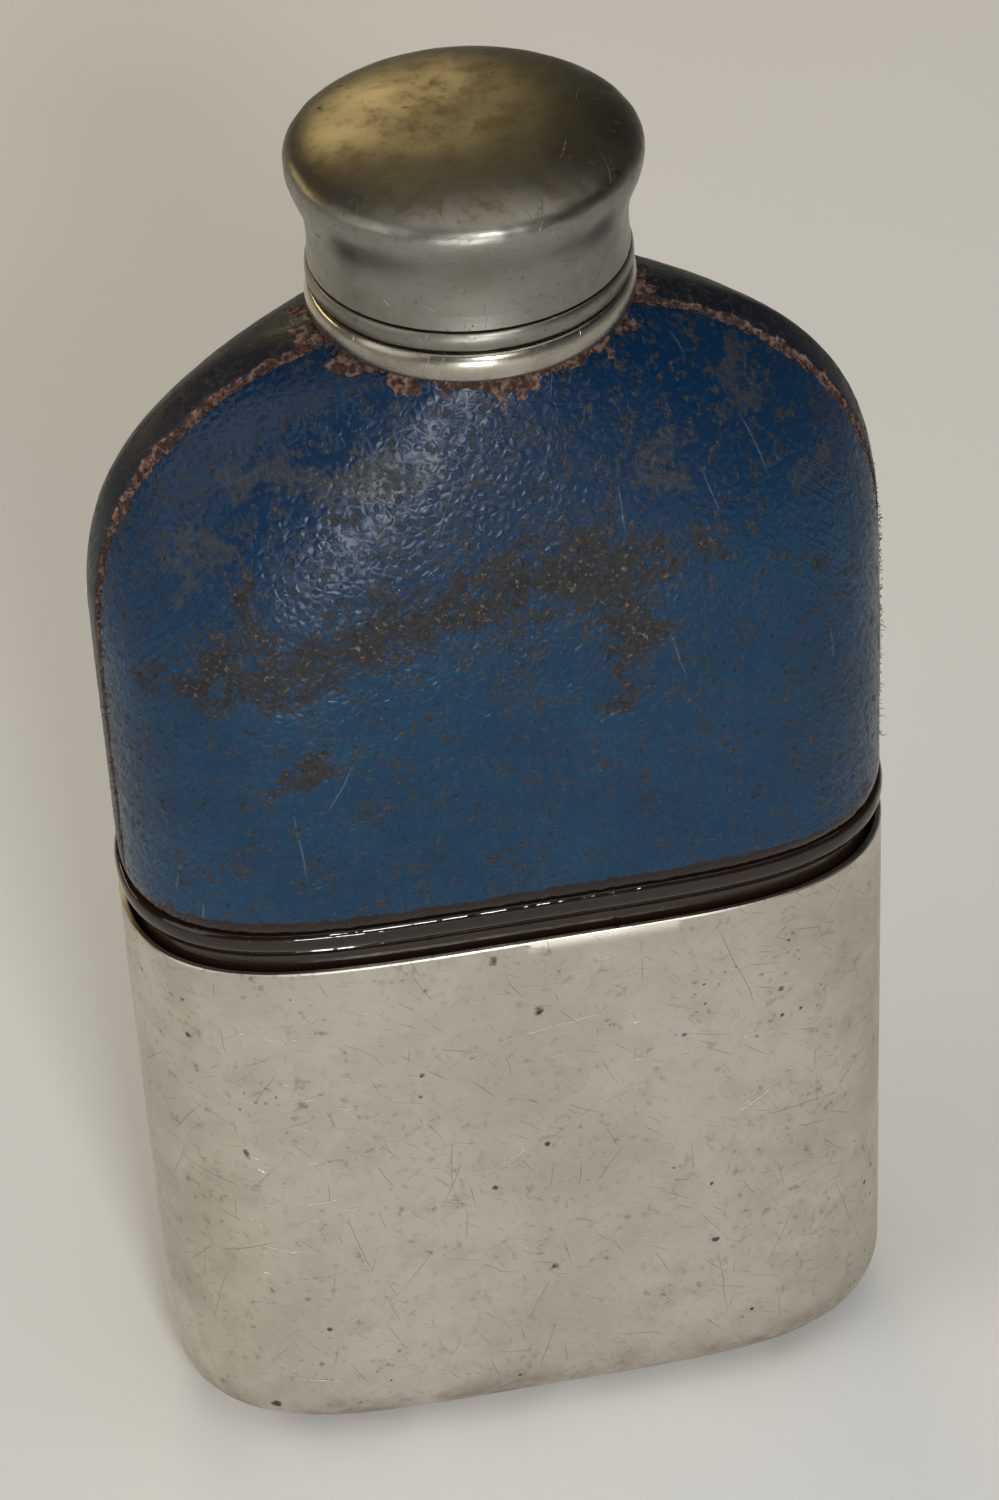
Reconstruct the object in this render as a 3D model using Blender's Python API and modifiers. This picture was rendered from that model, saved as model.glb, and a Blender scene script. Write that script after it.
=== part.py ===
"""A pocket spirit flask, as an assembly of separate solids.

A blown glass bottle has a two-panel leather cover over its upper half. Its lower half stands in a
slip-on metal drinking cup. A metal neck mount is cemented on the glass, and a domed screw cap with
a cork seal turns on it.

Metres, +Z up. The origin is the centre of the cup's base, +X runs along the wide side, and the
front panel faces -Y. Every moving piece moves along or about the Z axis.
"""

import math

import bmesh
import bpy
import numpy as np

MM = 0.001

# ---------------------------------------------------------------- driving dimensions

GAP = 0.3 * MM  # between neighbouring solids

# The flask's cross-section is |x / half width|^POWER_X + |y / half depth|^POWER_Y = 1.
POWER_X = 4.53
POWER_Y = 2.22
POWER_X_NECK = 2.0  # near the neck the front is round and the sides draw in to a soft ridge
POWER_Y_NECK = 1.4
NARROWING_START = 84.4 * MM  # where the section begins to change

# Drinking cup
CUP_HALF_WIDTH = 38.0 * MM
CUP_HALF_DEPTH = 16.5 * MM
CUP_HEIGHT = 65.3 * MM
CUP_WALL = 0.7 * MM
CUP_EDGE_RADIUS = 8.0 * MM  # between the base and the sides

# Leather cover, measured on its outside
COVER_HALF_WIDTH = 38.2 * MM
COVER_HALF_DEPTH = 17.0 * MM
COVER_BOTTOM = 70.6 * MM
COVER_TOP = 128.9 * MM
LEATHER = 1.0 * MM
SHOULDER_START = 98.9 * MM  # where the sides begin to curve in
SHOULDER_HEIGHT = 31.3 * MM
SHOULDER_POWER = 2.42
FACE_START = 90.0 * MM  # where the front and back begin to curve in
FACE_HEIGHT = 62.6 * MM
FACE_POWER = 1.7
FRONT_EDGE_Y = -3.9 * MM  # the front panel's raw edge
BACK_EDGE_Y = -3.5 * MM

# Glass bottle
GLASS_WALL = 2.4 * MM
GLASS_BASE = 4.0 * MM
CUP_CLEARANCE = 0.4 * MM
LEDGE_BOTTOM = 68.3 * MM  # the moulded ledge under the leather
LEDGE_HALF_WIDTH = 38.05 * MM
LEDGE_HALF_DEPTH = 16.6 * MM
LEDGE_ROUND = 0.3 * MM
NECK_RADIUS = 9.8 * MM
BORE_RADIUS = 7.5 * MM
LIP_TOP = 141.0 * MM

# Neck mount
COLLAR_BOTTOM = 129.2 * MM
COLLAR_HEIGHT = 3.0 * MM
COLLAR_RADIUS = 15.1 * MM
COLLAR_BULGE = 0.7 * MM
SLEEVE_BORE = 11.5 * MM
SLEEVE_TOP = 140.6 * MM

# Round-form thread between the sleeve and the cap's ferrule
THREAD_LEAD = 3.6 * MM
THREAD_DEPTH = 0.6 * MM
THREAD_ROOT = 12.37 * MM  # radius of the sleeve between its ridges
THREAD_BOTTOM = 134.2 * MM
THREAD_TOP = 140.4 * MM
THREAD_ROW = 0.5 * MM  # spacing of the rows that carry the ridges

# Cap, with heights measured up from its rim
CAP_RIM = 132.5 * MM  # height of the rim when the cap is closed
CAP_TOP = 15.55 * MM
CAP_WIDEST_AT = 11.7 * MM
CAP_WIDEST = 16.2 * MM
CAP_WAIST_AT = 3.6 * MM
CAP_WAIST = 14.63 * MM
CAP_WALL = 0.6 * MM
CAP_DOME_POWER = 2.55
BASE_RING_HEIGHT = 1.9 * MM
BASE_RING_RADIUS = 14.9 * MM
BASE_RING_BULGE = 0.4 * MM
FERRULE_TOP = 11.5 * MM
PLATE_THICKNESS = 0.8 * MM
CORK_THICKNESS = 2.6 * MM
CORK_RADIUS = 12.9 * MM

# Facets
RING_POINTS = 44
TURN_STEPS = 36
PANEL_FRONT_STEPS = 18
PANEL_BACK_STEPS = 24
SHOULDER_STEPS = 9

COLLECTION = "hip_flask"


# ---------------------------------------------------------------- scene helpers


def clear_scene():
    for old in list(bpy.data.objects):
        bpy.data.objects.remove(old, do_unlink=True)


def new_collection(name):
    collection = bpy.data.collections.new(name)
    bpy.context.scene.collection.children.link(collection)
    return collection


def material(name, colour, metallic=0.0, roughness=0.5, transmission=0.0):
    """A Principled material with one colour."""
    made = bpy.data.materials.new(name)
    made.use_nodes = True
    shader = made.node_tree.nodes["Principled BSDF"]
    shader.inputs["Base Color"].default_value = (*colour, 1.0)
    shader.inputs["Metallic"].default_value = metallic
    shader.inputs["Roughness"].default_value = roughness
    shader.inputs["Transmission Weight"].default_value = transmission
    made.diffuse_color = (*colour, 1.0)
    return made


def axis_empty(name, height, parent=None):
    """An empty on the Z axis, which a moving body's pieces hang from."""
    empty = bpy.data.objects.new(name, None)
    empty.empty_display_size = 5 * MM
    empty.location.z = height
    empty.parent = parent
    bpy.data.collections[COLLECTION].objects.link(empty)
    return empty


def mesh_object(name, bm, made_of, parent=None):
    """Turns a bmesh into a smooth-shaded object with its material, under its parent."""
    mesh = bpy.data.meshes.new(name)
    bm.to_mesh(mesh)
    bm.free()
    mesh.shade_smooth()
    mesh.set_sharp_from_angle(angle=math.radians(35))
    mesh.materials.append(made_of)
    piece = bpy.data.objects.new(name, mesh)
    piece.parent = parent
    bpy.data.collections[COLLECTION].objects.link(piece)
    return piece


def solidify(piece, thickness):
    """Thickens an open surface towards its inside."""
    shell = piece.modifiers.new("wall", "SOLIDIFY")
    shell.thickness = thickness
    shell.offset = -1.0
    shell.use_even_offset = True


# ---------------------------------------------------------------- modelling helpers


def loft(rows, closed, joined=False):
    """A bmesh skin over rows of points, each row anticlockwise or a single pole.

    closed joins each row's ends, and joined runs the last row back into the first.
    """
    bm = bmesh.new()
    made = [[bm.verts.new(point) for point in row] for row in rows]
    pairs = list(zip(made, made[1:]))
    if joined:
        pairs.append((made[-1], made[0]))
    for low, high in pairs:
        count = max(len(low), len(high))
        for i in range(count if closed else count - 1):
            j = (i + 1) % count
            corners = [low[i % len(low)], low[j % len(low)], high[j % len(high)], high[i % len(high)]]
            bm.faces.new(list(dict.fromkeys(corners)))
    return bm


def turned(name, profile, made_of, parent, ring):
    """A shape turned about Z from (radius, height) points that run down its outer side."""
    bm = bmesh.new()
    points = [bm.verts.new((radius, 0.0, height)) for radius, height in profile]
    pairs = list(zip(points, points[1:]))
    if ring:
        pairs.append((points[-1], points[0]))
    for start, end in pairs:
        bm.edges.new((start, end))
    piece = mesh_object(name, bm, made_of, parent)
    screw = piece.modifiers.new("turn", "SCREW")
    screw.steps = TURN_STEPS
    screw.render_steps = TURN_STEPS
    screw.use_merge_vertices = True
    screw.merge_threshold = 0.00001
    screw.use_smooth_shade = True
    return piece


def half_round(outer, bulge, bottom, top, inner, steps=5):
    """The profile of a ring that is flat inside, above and below, and bulges outwards."""
    middle = (bottom + top) / 2
    rise = (top - bottom) / 2
    profile = [(inner, top)]
    for i in range(steps + 1):
        angle = math.pi / 2 - math.pi * i / steps
        profile.append((outer - bulge + bulge * math.cos(angle), middle + rise * math.sin(angle)))
    profile.append((inner, bottom))
    return profile


def quarter_curve(half_width, half_depth, powers=(POWER_X, POWER_Y)):
    """One quarter of the cross-section from +X to +Y, closely spaced."""
    angle = np.linspace(0.0, math.pi / 2, 600)
    x = half_width * np.abs(np.cos(angle)) ** (2 / powers[0])
    y = half_depth * np.abs(np.sin(angle)) ** (2 / powers[1])
    x[-1] = 0.0
    return np.column_stack([x, y])


def evenly_spaced(curve, count):
    """The curve as count + 1 points at equal distances along it."""
    steps = np.linalg.norm(np.diff(curve, axis=0), axis=1)
    along = np.concatenate([[0.0], np.cumsum(steps)])
    places = np.linspace(0.0, along[-1], count + 1)
    return np.column_stack([np.interp(places, along, curve[:, axis]) for axis in (0, 1)])


def section_ring(half_width, half_depth, height, powers=(POWER_X, POWER_Y)):
    """The whole cross-section at one height, anticlockwise from +X."""
    quarter = evenly_spaced(quarter_curve(half_width, half_depth, powers), RING_POINTS // 4)
    half = np.vstack([quarter, (quarter * (-1, 1))[-2::-1]])
    whole = np.vstack([half, (half * (1, -1))[-2:0:-1]])
    return [(x, y, height) for x, y in whole]


def round_ring(radius, height, count=RING_POINTS):
    angles = [2 * math.pi * i / count for i in range(count)]
    return [(radius * math.cos(a), radius * math.sin(a), height) for a in angles]


def smooth_step(value, low, high):
    part = min(max((value - low) / (high - low), 0.0), 1.0)
    return part * part * (3 - 2 * part)


def super_arc(value, power):
    """Height of the curve u^power + v^power = 1 at u = value, and 1 before its start."""
    return (1 - max(value, 0.0) ** power) ** (1 / power)


# ---------------------------------------------------------------- the flask's own shape


def half_width(height, inset=0.0):
    """Half width of the cover at a height, or of a surface that lies inset below it."""
    part = (height - SHOULDER_START) / (SHOULDER_HEIGHT - inset)
    return (COVER_HALF_WIDTH - inset) * super_arc(part, SHOULDER_POWER)


def half_depth(height, inset=0.0):
    part = (height - FACE_START) / (FACE_HEIGHT - inset)
    return (COVER_HALF_DEPTH - inset) * super_arc(part, FACE_POWER)


def section_powers(height):
    """The section's two powers, which change towards the neck."""
    share = smooth_step(height, NARROWING_START, COVER_TOP)
    return POWER_X + (POWER_X_NECK - POWER_X) * share, POWER_Y + (POWER_Y_NECK - POWER_Y) * share


def shoulder_heights(end_width, inset=0.0, steps=SHOULDER_STEPS):
    """Heights from the start of the shoulder to where it narrows to end_width, evenly round its curve."""
    last = math.acos((end_width / (COVER_HALF_WIDTH - inset)) ** (SHOULDER_POWER / 2))
    angles = [last * i / steps for i in range(steps + 1)]
    rise = SHOULDER_HEIGHT - inset
    return [SHOULDER_START + rise * math.sin(a) ** (2 / SHOULDER_POWER) for a in angles]


def body_ring(height, inset):
    """A ring of the covered part of the flask, inset below the leather's outside."""
    return section_ring(
        half_width(height, inset), half_depth(height, inset), height, section_powers(height)
    )


def rounded_base(half_w, half_d, bottom, radius, steps):
    """Rings round a rounded base edge, from its flat middle up to its straight side."""
    rings = []
    for i in range(steps + 1):
        angle = math.pi / 2 * i / steps
        inset = radius * (1 - math.sin(angle))
        rings.append(section_ring(half_w - inset, half_d - inset, bottom + radius * (1 - math.cos(angle))))
    return rings


# ---------------------------------------------------------------- cup


def make_cup(made_of):
    """The drinking cup, drawn in one piece: flat base, rounded edge and straight sides."""
    rows = [[(0.0, 0.0, 0.0)]]
    rows += rounded_base(CUP_HALF_WIDTH, CUP_HALF_DEPTH, 0.0, CUP_EDGE_RADIUS, 5)
    rows.append(section_ring(CUP_HALF_WIDTH, CUP_HALF_DEPTH, CUP_HEIGHT))
    cup = mesh_object("cup_shell", loft(rows, closed=True), made_of)
    solidify(cup, CUP_WALL)
    return cup


# ---------------------------------------------------------------- glass bottle


def bottle_outside():
    """Rows up the outside of the glass, from the middle of its base to its lip."""
    width = CUP_HALF_WIDTH - CUP_WALL - CUP_CLEARANCE
    depth = CUP_HALF_DEPTH - CUP_WALL - CUP_CLEARANCE
    bottom = CUP_WALL + GAP
    rows = [[(0.0, 0.0, bottom)]]
    rows += rounded_base(width, depth, bottom, CUP_EDGE_RADIUS - CUP_WALL - GAP, 4)
    rows.append(section_ring(width, depth, LEDGE_BOTTOM - LEDGE_ROUND))
    rows.append(section_ring(LEDGE_HALF_WIDTH, LEDGE_HALF_DEPTH, LEDGE_BOTTOM))
    rows.append(section_ring(LEDGE_HALF_WIDTH, LEDGE_HALF_DEPTH, COVER_BOTTOM - GAP - LEDGE_ROUND))
    inset = LEATHER + GAP
    rows.append(body_ring(COVER_BOTTOM - GAP, inset))
    rows.append(body_ring(FACE_START, inset))
    rows += [body_ring(height, inset) for height in shoulder_heights(13.0 * MM, inset)]
    rows.append(round_ring(NECK_RADIUS + 0.3 * MM, COLLAR_BOTTOM))
    rows.append(round_ring(NECK_RADIUS, COLLAR_BOTTOM + 1.2 * MM))
    rows.append(round_ring(NECK_RADIUS, LIP_TOP - 0.6 * MM))
    rows.append(round_ring(NECK_RADIUS - 0.5 * MM, LIP_TOP))
    return rows


def bottle_inside():
    """Rows down the inside of the glass, from its lip to the middle of its base."""
    inset = LEATHER + GAP + GLASS_WALL
    shoulder = shoulder_heights(15.0 * MM, inset, SHOULDER_STEPS - 3)
    throat = shoulder[-1]
    width = CUP_HALF_WIDTH - CUP_WALL - CUP_CLEARANCE - GLASS_WALL
    depth = CUP_HALF_DEPTH - CUP_WALL - CUP_CLEARANCE - GLASS_WALL
    floor = CUP_WALL + GAP + GLASS_BASE
    rows = [round_ring(BORE_RADIUS + 0.4 * MM, LIP_TOP), round_ring(BORE_RADIUS, LIP_TOP - 0.6 * MM)]
    rows.append(round_ring(BORE_RADIUS, throat + 3.0 * MM))
    rows.append(round_ring(BORE_RADIUS + 0.7 * MM, throat + 1.8 * MM))
    rows.append(round_ring(BORE_RADIUS + 1.9 * MM, throat + 0.8 * MM))
    rows += [body_ring(height, inset) for height in reversed(shoulder)]
    rows += reversed(rounded_base(width, depth, floor, CUP_EDGE_RADIUS - GLASS_WALL, 3))
    rows.append([(0.0, 0.0, floor)])
    return rows


def make_bottle(made_of, parent):
    rows = bottle_outside() + bottle_inside()
    return mesh_object("glass_bottle", loft(rows, closed=True), made_of, parent)


# ---------------------------------------------------------------- leather cover


def panel_row(height, edge_y, facing, steps):
    """The cover's outline at one height, on the facing (-1 front, 1 back) side of y = edge_y."""
    quarter = quarter_curve(half_width(height), half_depth(height), section_powers(height))
    side = np.vstack([(quarter * (1, -1))[:0:-1], quarter])
    edge = facing * edge_y
    edge_x = np.interp(abs(edge), quarter[:, 1], quarter[:, 0])
    stretch = np.vstack([(edge_x, edge), side[side[:, 1] > edge]])
    half = evenly_spaced(stretch, steps // 2) * (1, facing)
    whole = np.vstack([half, (half * (-1, 1))[-2::-1]])
    row = [(x, y, height) for x, y in whole]
    return row if facing > 0 else row[::-1]


def make_panel(name, edge_y, facing, steps, made_of, parent):
    """One leather panel: a skin over its side of the bottle, up to the foot of the collar."""
    heights = [COVER_BOTTOM, (COVER_BOTTOM + FACE_START) / 2, FACE_START]
    heights += shoulder_heights(half_width(COVER_TOP))
    rows = [panel_row(height, edge_y, facing, steps) for height in heights]
    panel = mesh_object(name, loft(rows, closed=False), made_of, parent)
    solidify(panel, LEATHER)
    return panel


# ---------------------------------------------------------------- thread


def ridge(height, angle):
    """0 in the root of the sleeve's right-hand thread and 1 on its crest."""
    turns = height / THREAD_LEAD - angle / (2 * math.pi)
    return 0.5 + 0.5 * math.cos(2 * math.pi * turns)


def run_out(height):
    """The share of the full thread at a height, fading out at both ends of the thread."""
    inside = min(height - THREAD_BOTTOM, THREAD_TOP - height)
    return min(max(inside / (THREAD_LEAD / 3), 0.0), 1.0)


def sleeve_radius(height, angle):
    return THREAD_ROOT + THREAD_DEPTH * run_out(height) * ridge(height, angle)


def ferrule_radius(height, angle):
    """The cap's thread follows the sleeve's at a constant clearance."""
    return THREAD_ROOT + THREAD_DEPTH + GAP - THREAD_DEPTH * run_out(height) * (1 - ridge(height, angle))


def thread_heights(bottom, top):
    """Rows for a threaded wall: plain ends, and closely spaced where the ridges are."""
    count = round((THREAD_TOP - THREAD_BOTTOM) / THREAD_ROW)
    step = (THREAD_TOP - THREAD_BOTTOM) / count
    return [bottom, *(THREAD_BOTTOM + step * i for i in range(count + 1)), top]


def thread_row(height, radius, origin):
    """A ring whose radius follows the thread, with its height measured from origin."""
    row = []
    for i in range(TURN_STEPS):
        angle = 2 * math.pi * i / TURN_STEPS
        here = radius(height, angle)
        row.append((here * math.cos(angle), here * math.sin(angle), height - origin))
    return row


# ---------------------------------------------------------------- neck mount


def make_sleeve(made_of, parent):
    """The threaded tube that is cemented round the glass neck."""
    outside = [thread_row(z, sleeve_radius, 0.0) for z in thread_heights(COLLAR_BOTTOM, SLEEVE_TOP)]
    inside = [round_ring(SLEEVE_BORE, z, TURN_STEPS) for z in (SLEEVE_TOP, COLLAR_BOTTOM)]
    skin = loft(outside + inside, closed=True, joined=True)
    return mesh_object("neck_thread_sleeve", skin, made_of, parent)


def make_collar(made_of, parent):
    """The polished half-round ring at the foot of the sleeve."""
    top = COLLAR_BOTTOM + COLLAR_HEIGHT
    profile = half_round(COLLAR_RADIUS, COLLAR_BULGE, COLLAR_BOTTOM, top, THREAD_ROOT + GAP)
    return turned("neck_collar", profile, made_of, parent, ring=True)


def make_cement(made_of, parent):
    """The plaster that holds the sleeve on the glass."""
    inner = NECK_RADIUS + GAP
    outer = SLEEVE_BORE - GAP
    bottom = COLLAR_BOTTOM + 1.6 * MM
    top = SLEEVE_TOP - 0.8 * MM
    profile = [(inner, top), (outer, top), (outer, bottom), (inner, bottom)]
    return turned("neck_cement", profile, made_of, parent, ring=True)


# ---------------------------------------------------------------- cap


def cap_outline():
    """The cap's outside from the top of its dome to the lower edge of its waist."""
    points = [(0.0, CAP_TOP)]
    rise = CAP_TOP - CAP_WIDEST_AT
    for i in range(1, 8):
        angle = math.pi / 2 * (1 - i / 8)
        radius = CAP_WIDEST * math.cos(angle) ** (2 / CAP_DOME_POWER)
        points.append((radius, CAP_WIDEST_AT + rise * math.sin(angle) ** (2 / CAP_DOME_POWER)))
    flare = CAP_WIDEST_AT - CAP_WAIST_AT
    for i in range(7):
        part = 1 - i / 6
        swell = (0.5 - 0.5 * math.cos(math.pi * part)) ** 2
        points.append((CAP_WAIST + (CAP_WIDEST - CAP_WAIST) * swell, CAP_WAIST_AT + flare * part))
    points.append((CAP_WAIST, BASE_RING_HEIGHT + GAP))
    return points


def make_cap_shell(made_of, parent):
    """The spun outer shell: domed top, flared shoulder and slightly hollow sides."""
    shell = turned("cap_shell", cap_outline(), made_of, parent, ring=False)
    solidify(shell, CAP_WALL)
    return shell


def make_base_ring(made_of, parent):
    """The half-round bead soldered round the cap's rim."""
    inner = CAP_WAIST - CAP_WALL
    profile = half_round(BASE_RING_RADIUS, BASE_RING_BULGE, 0.0, BASE_RING_HEIGHT, inner)
    return turned("cap_base_ring", profile, made_of, parent, ring=True)


def make_ferrule(made_of, parent):
    """The threaded liner inside the cap."""
    outer = CAP_WAIST - CAP_WALL - GAP
    bottom = CAP_RIM + GAP
    top = CAP_RIM + FERRULE_TOP
    outside = [round_ring(outer, z - CAP_RIM, TURN_STEPS) for z in (bottom, top)]
    inside = [thread_row(z, ferrule_radius, CAP_RIM) for z in reversed(thread_heights(bottom, top))]
    skin = loft(outside + inside, closed=True, joined=True)
    return mesh_object("cap_thread_liner", skin, made_of, parent)


def disc_profile(radius, bottom, thickness, chamfer):
    """A disc with a chamfered edge, from the middle of its top to the middle of its underside."""
    top = bottom + thickness
    return [
        (0.0, top),
        (radius - chamfer, top),
        (radius, top - chamfer),
        (radius, bottom + chamfer),
        (radius - chamfer, bottom),
        (0.0, bottom),
    ]


def make_plate(made_of, parent):
    """The disc that closes the liner's top and backs the cork."""
    radius = CAP_WAIST - CAP_WALL - GAP
    profile = disc_profile(radius, FERRULE_TOP + GAP, PLATE_THICKNESS, 0.2 * MM)
    return turned("cap_liner_plate", profile, made_of, parent, ring=False)


def make_cork(made_of, parent):
    """The cork disc that seals against the glass lip."""
    bottom = LIP_TOP + GAP - CAP_RIM
    profile = disc_profile(CORK_RADIUS, bottom, CORK_THICKNESS, 0.3 * MM)
    return turned("cork_disc", profile, made_of, parent, ring=False)


# ---------------------------------------------------------------- assembly


def make_flask():
    clear_scene()
    new_collection(COLLECTION)

    silver_plate = material("silver_plate", (0.62, 0.59, 0.53), metallic=1.0, roughness=0.34)
    dark_glass = material("dark_glass", (0.03, 0.018, 0.01), roughness=0.06, transmission=0.6)
    blue_leather = material("blue_leather", (0.012, 0.045, 0.12), roughness=0.42)
    navy_leather = material("navy_leather", (0.008, 0.014, 0.035), roughness=0.4)
    polished_pewter = material("polished_pewter", (0.5, 0.47, 0.38), metallic=1.0, roughness=0.2)
    thread_pewter = material("thread_pewter", (0.36, 0.34, 0.3), metallic=1.0, roughness=0.42)
    plaster = material("plaster", (0.72, 0.68, 0.6), roughness=0.9)
    cap_pewter = material("cap_pewter", (0.34, 0.32, 0.26), metallic=1.0, roughness=0.33)
    ring_pewter = material("ring_pewter", (0.36, 0.34, 0.27), metallic=1.0, roughness=0.3)
    liner_pewter = material("liner_pewter", (0.4, 0.38, 0.34), metallic=1.0, roughness=0.45)
    plate_pewter = material("plate_pewter", (0.42, 0.4, 0.36), metallic=1.0, roughness=0.5)
    cork = material("cork", (0.42, 0.26, 0.14), roughness=0.85)

    make_cup(silver_plate)

    bottle = axis_empty("bottle_axis", 0.0)
    make_bottle(dark_glass, bottle)
    make_panel("leather_front", FRONT_EDGE_Y, -1, PANEL_FRONT_STEPS, blue_leather, bottle)
    make_panel("leather_back", BACK_EDGE_Y, 1, PANEL_BACK_STEPS, navy_leather, bottle)
    make_collar(polished_pewter, bottle)
    make_sleeve(thread_pewter, bottle)
    make_cement(plaster, bottle)

    seal = axis_empty("seal_axis", CAP_RIM, bottle)
    make_cork(cork, seal)

    cap = axis_empty("cap_axis", 0.0, seal)
    make_cap_shell(cap_pewter, cap)
    make_base_ring(ring_pewter, cap)
    make_ferrule(liner_pewter, cap)
    make_plate(plate_pewter, cap)


make_flask()
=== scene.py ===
# %% [markdown]
# # A leather-covered pocket flask
#
# This lesson dresses the plain CAD model of an old spirit flask: a dark glass bottle with a blue
# leather cover, a slip-on silver-plated cup, and a pewter neck and screw cap. The CAD model is the
# fixed frame. Each visible part gets a fine mesh of its own that rides on the same moving body, and
# a procedural material with the wear that a century in a coat pocket leaves.

# %% Load the frame
import math

import bmesh
import bpy
import numpy as np
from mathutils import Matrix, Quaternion, Vector, noise


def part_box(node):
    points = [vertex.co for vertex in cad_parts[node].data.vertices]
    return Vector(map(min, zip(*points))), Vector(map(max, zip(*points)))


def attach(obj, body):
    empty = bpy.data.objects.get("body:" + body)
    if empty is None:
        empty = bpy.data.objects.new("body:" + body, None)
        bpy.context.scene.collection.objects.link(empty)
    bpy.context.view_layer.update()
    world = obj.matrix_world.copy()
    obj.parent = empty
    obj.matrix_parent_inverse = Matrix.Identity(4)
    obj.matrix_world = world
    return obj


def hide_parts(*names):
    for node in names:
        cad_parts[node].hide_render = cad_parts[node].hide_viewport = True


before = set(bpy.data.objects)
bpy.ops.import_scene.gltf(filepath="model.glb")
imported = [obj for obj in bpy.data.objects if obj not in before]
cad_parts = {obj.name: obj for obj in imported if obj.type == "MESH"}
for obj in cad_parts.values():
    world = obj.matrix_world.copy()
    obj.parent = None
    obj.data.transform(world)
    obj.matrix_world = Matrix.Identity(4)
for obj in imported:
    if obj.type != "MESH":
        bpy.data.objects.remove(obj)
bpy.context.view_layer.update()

MM = 0.001

# %% [markdown]
# ## Camera and studio
#
# The camera looks slightly down on the front from a little to the left, through a long lens, so that
# the sides stay nearly parallel. It turns about a point in the middle of the flask, which makes the
# angle easy to read and to change.

# %% Camera
AIM = Vector((0.0003, 0.0, 0.0762))
AZIMUTH = math.radians(-9.02)
ELEVATION = math.radians(38.48)
ROLL = math.radians(-3.14)
DISTANCE = 0.4638
LENS_MM = 114.3


def place_camera():
    """A camera on the line through AIM at the given azimuth and elevation, rolled about that line."""
    level = math.cos(ELEVATION)
    back = Vector((math.sin(AZIMUTH) * level, -math.cos(AZIMUTH) * level, math.sin(ELEVATION)))
    data = bpy.data.cameras.new("studio_camera")
    data.lens = LENS_MM
    data.sensor_width = 36.0
    camera = bpy.data.objects.new("studio_camera", data)
    camera.rotation_mode = "QUATERNION"
    camera.location = AIM + back * DISTANCE
    camera.rotation_quaternion = (-back).to_track_quat("-Z", "Y") @ Quaternion((0, 0, 1), ROLL)
    bpy.context.scene.collection.objects.link(camera)
    bpy.context.scene.camera = camera
    return camera


camera = place_camera()
print("camera at", tuple(round(c, 3) for c in camera.location))

# %% [markdown]
# Polished metal shows the room more than itself, so the studio matters as much as the materials. A
# pale floor gives the cup its even, light grey. A dim, warm room above and behind keeps the cap's
# dome dark. One small bright lamp near the camera makes the crisp highlights on the neck ring and
# the sparkle on the leather grain, and a long warm strip behind draws the golden streak on the dome.

# %% Floor, lamps and room
FLOOR_COLOUR = (0.84, 0.84, 0.83, 1.0)
ROOM_LOW = (0.62, 0.62, 0.60, 1.0)
ROOM_HIGH = (0.10, 0.095, 0.075, 1.0)


def area_lamp(name, place, width, height, watts, colour=(1.0, 1.0, 1.0), aim=AIM):
    data = bpy.data.lights.new(name, "AREA")
    data.shape = "RECTANGLE"
    data.size = width
    data.size_y = height
    data.energy = watts
    data.color = colour
    lamp = bpy.data.objects.new(name, data)
    lamp.location = place
    lamp.rotation_mode = "QUATERNION"
    lamp.rotation_quaternion = (Vector(aim) - Vector(place)).to_track_quat("-Z", "Y")
    bpy.context.scene.collection.objects.link(lamp)
    return lamp


def make_room():
    """A dim room that is paler near the floor than overhead."""
    world = bpy.data.worlds.new("room")
    bpy.context.scene.world = world
    world.use_nodes = True
    tree = world.node_tree
    coordinates = tree.nodes.new("ShaderNodeTexCoord")
    split = tree.nodes.new("ShaderNodeSeparateXYZ")
    rise = tree.nodes.new("ShaderNodeMapRange")
    rise.interpolation_type = "SMOOTHSTEP"
    rise.inputs["From Min"].default_value = -0.05
    rise.inputs["From Max"].default_value = 0.35
    tint = tree.nodes.new("ShaderNodeMix")
    tint.data_type = "RGBA"
    tint.inputs[6].default_value = ROOM_LOW
    tint.inputs[7].default_value = ROOM_HIGH
    tree.links.new(coordinates.outputs["Generated"], split.inputs[0])
    tree.links.new(split.outputs["Z"], rise.inputs["Value"])
    tree.links.new(rise.outputs["Result"], tint.inputs["Factor"])
    tree.links.new(tint.outputs[2], tree.nodes["Background"].inputs["Color"])
    tree.nodes["Background"].inputs["Strength"].default_value = 0.36


def make_floor():
    mesh = bpy.data.meshes.new("studio_floor")
    bm = bmesh.new()
    bmesh.ops.create_grid(bm, x_segments=1, y_segments=1, size=3.0)
    bm.to_mesh(mesh)
    bm.free()
    floor = bpy.data.objects.new("studio_floor", mesh)
    bpy.context.scene.collection.objects.link(floor)
    paper = bpy.data.materials.new("floor_paper")
    paper.use_nodes = True
    shader = paper.node_tree.nodes["Principled BSDF"]
    shader.inputs["Base Color"].default_value = FLOOR_COLOUR
    shader.inputs["Roughness"].default_value = 0.9
    shader.inputs["Specular IOR Level"].default_value = 0.1
    mesh.materials.append(paper)


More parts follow.
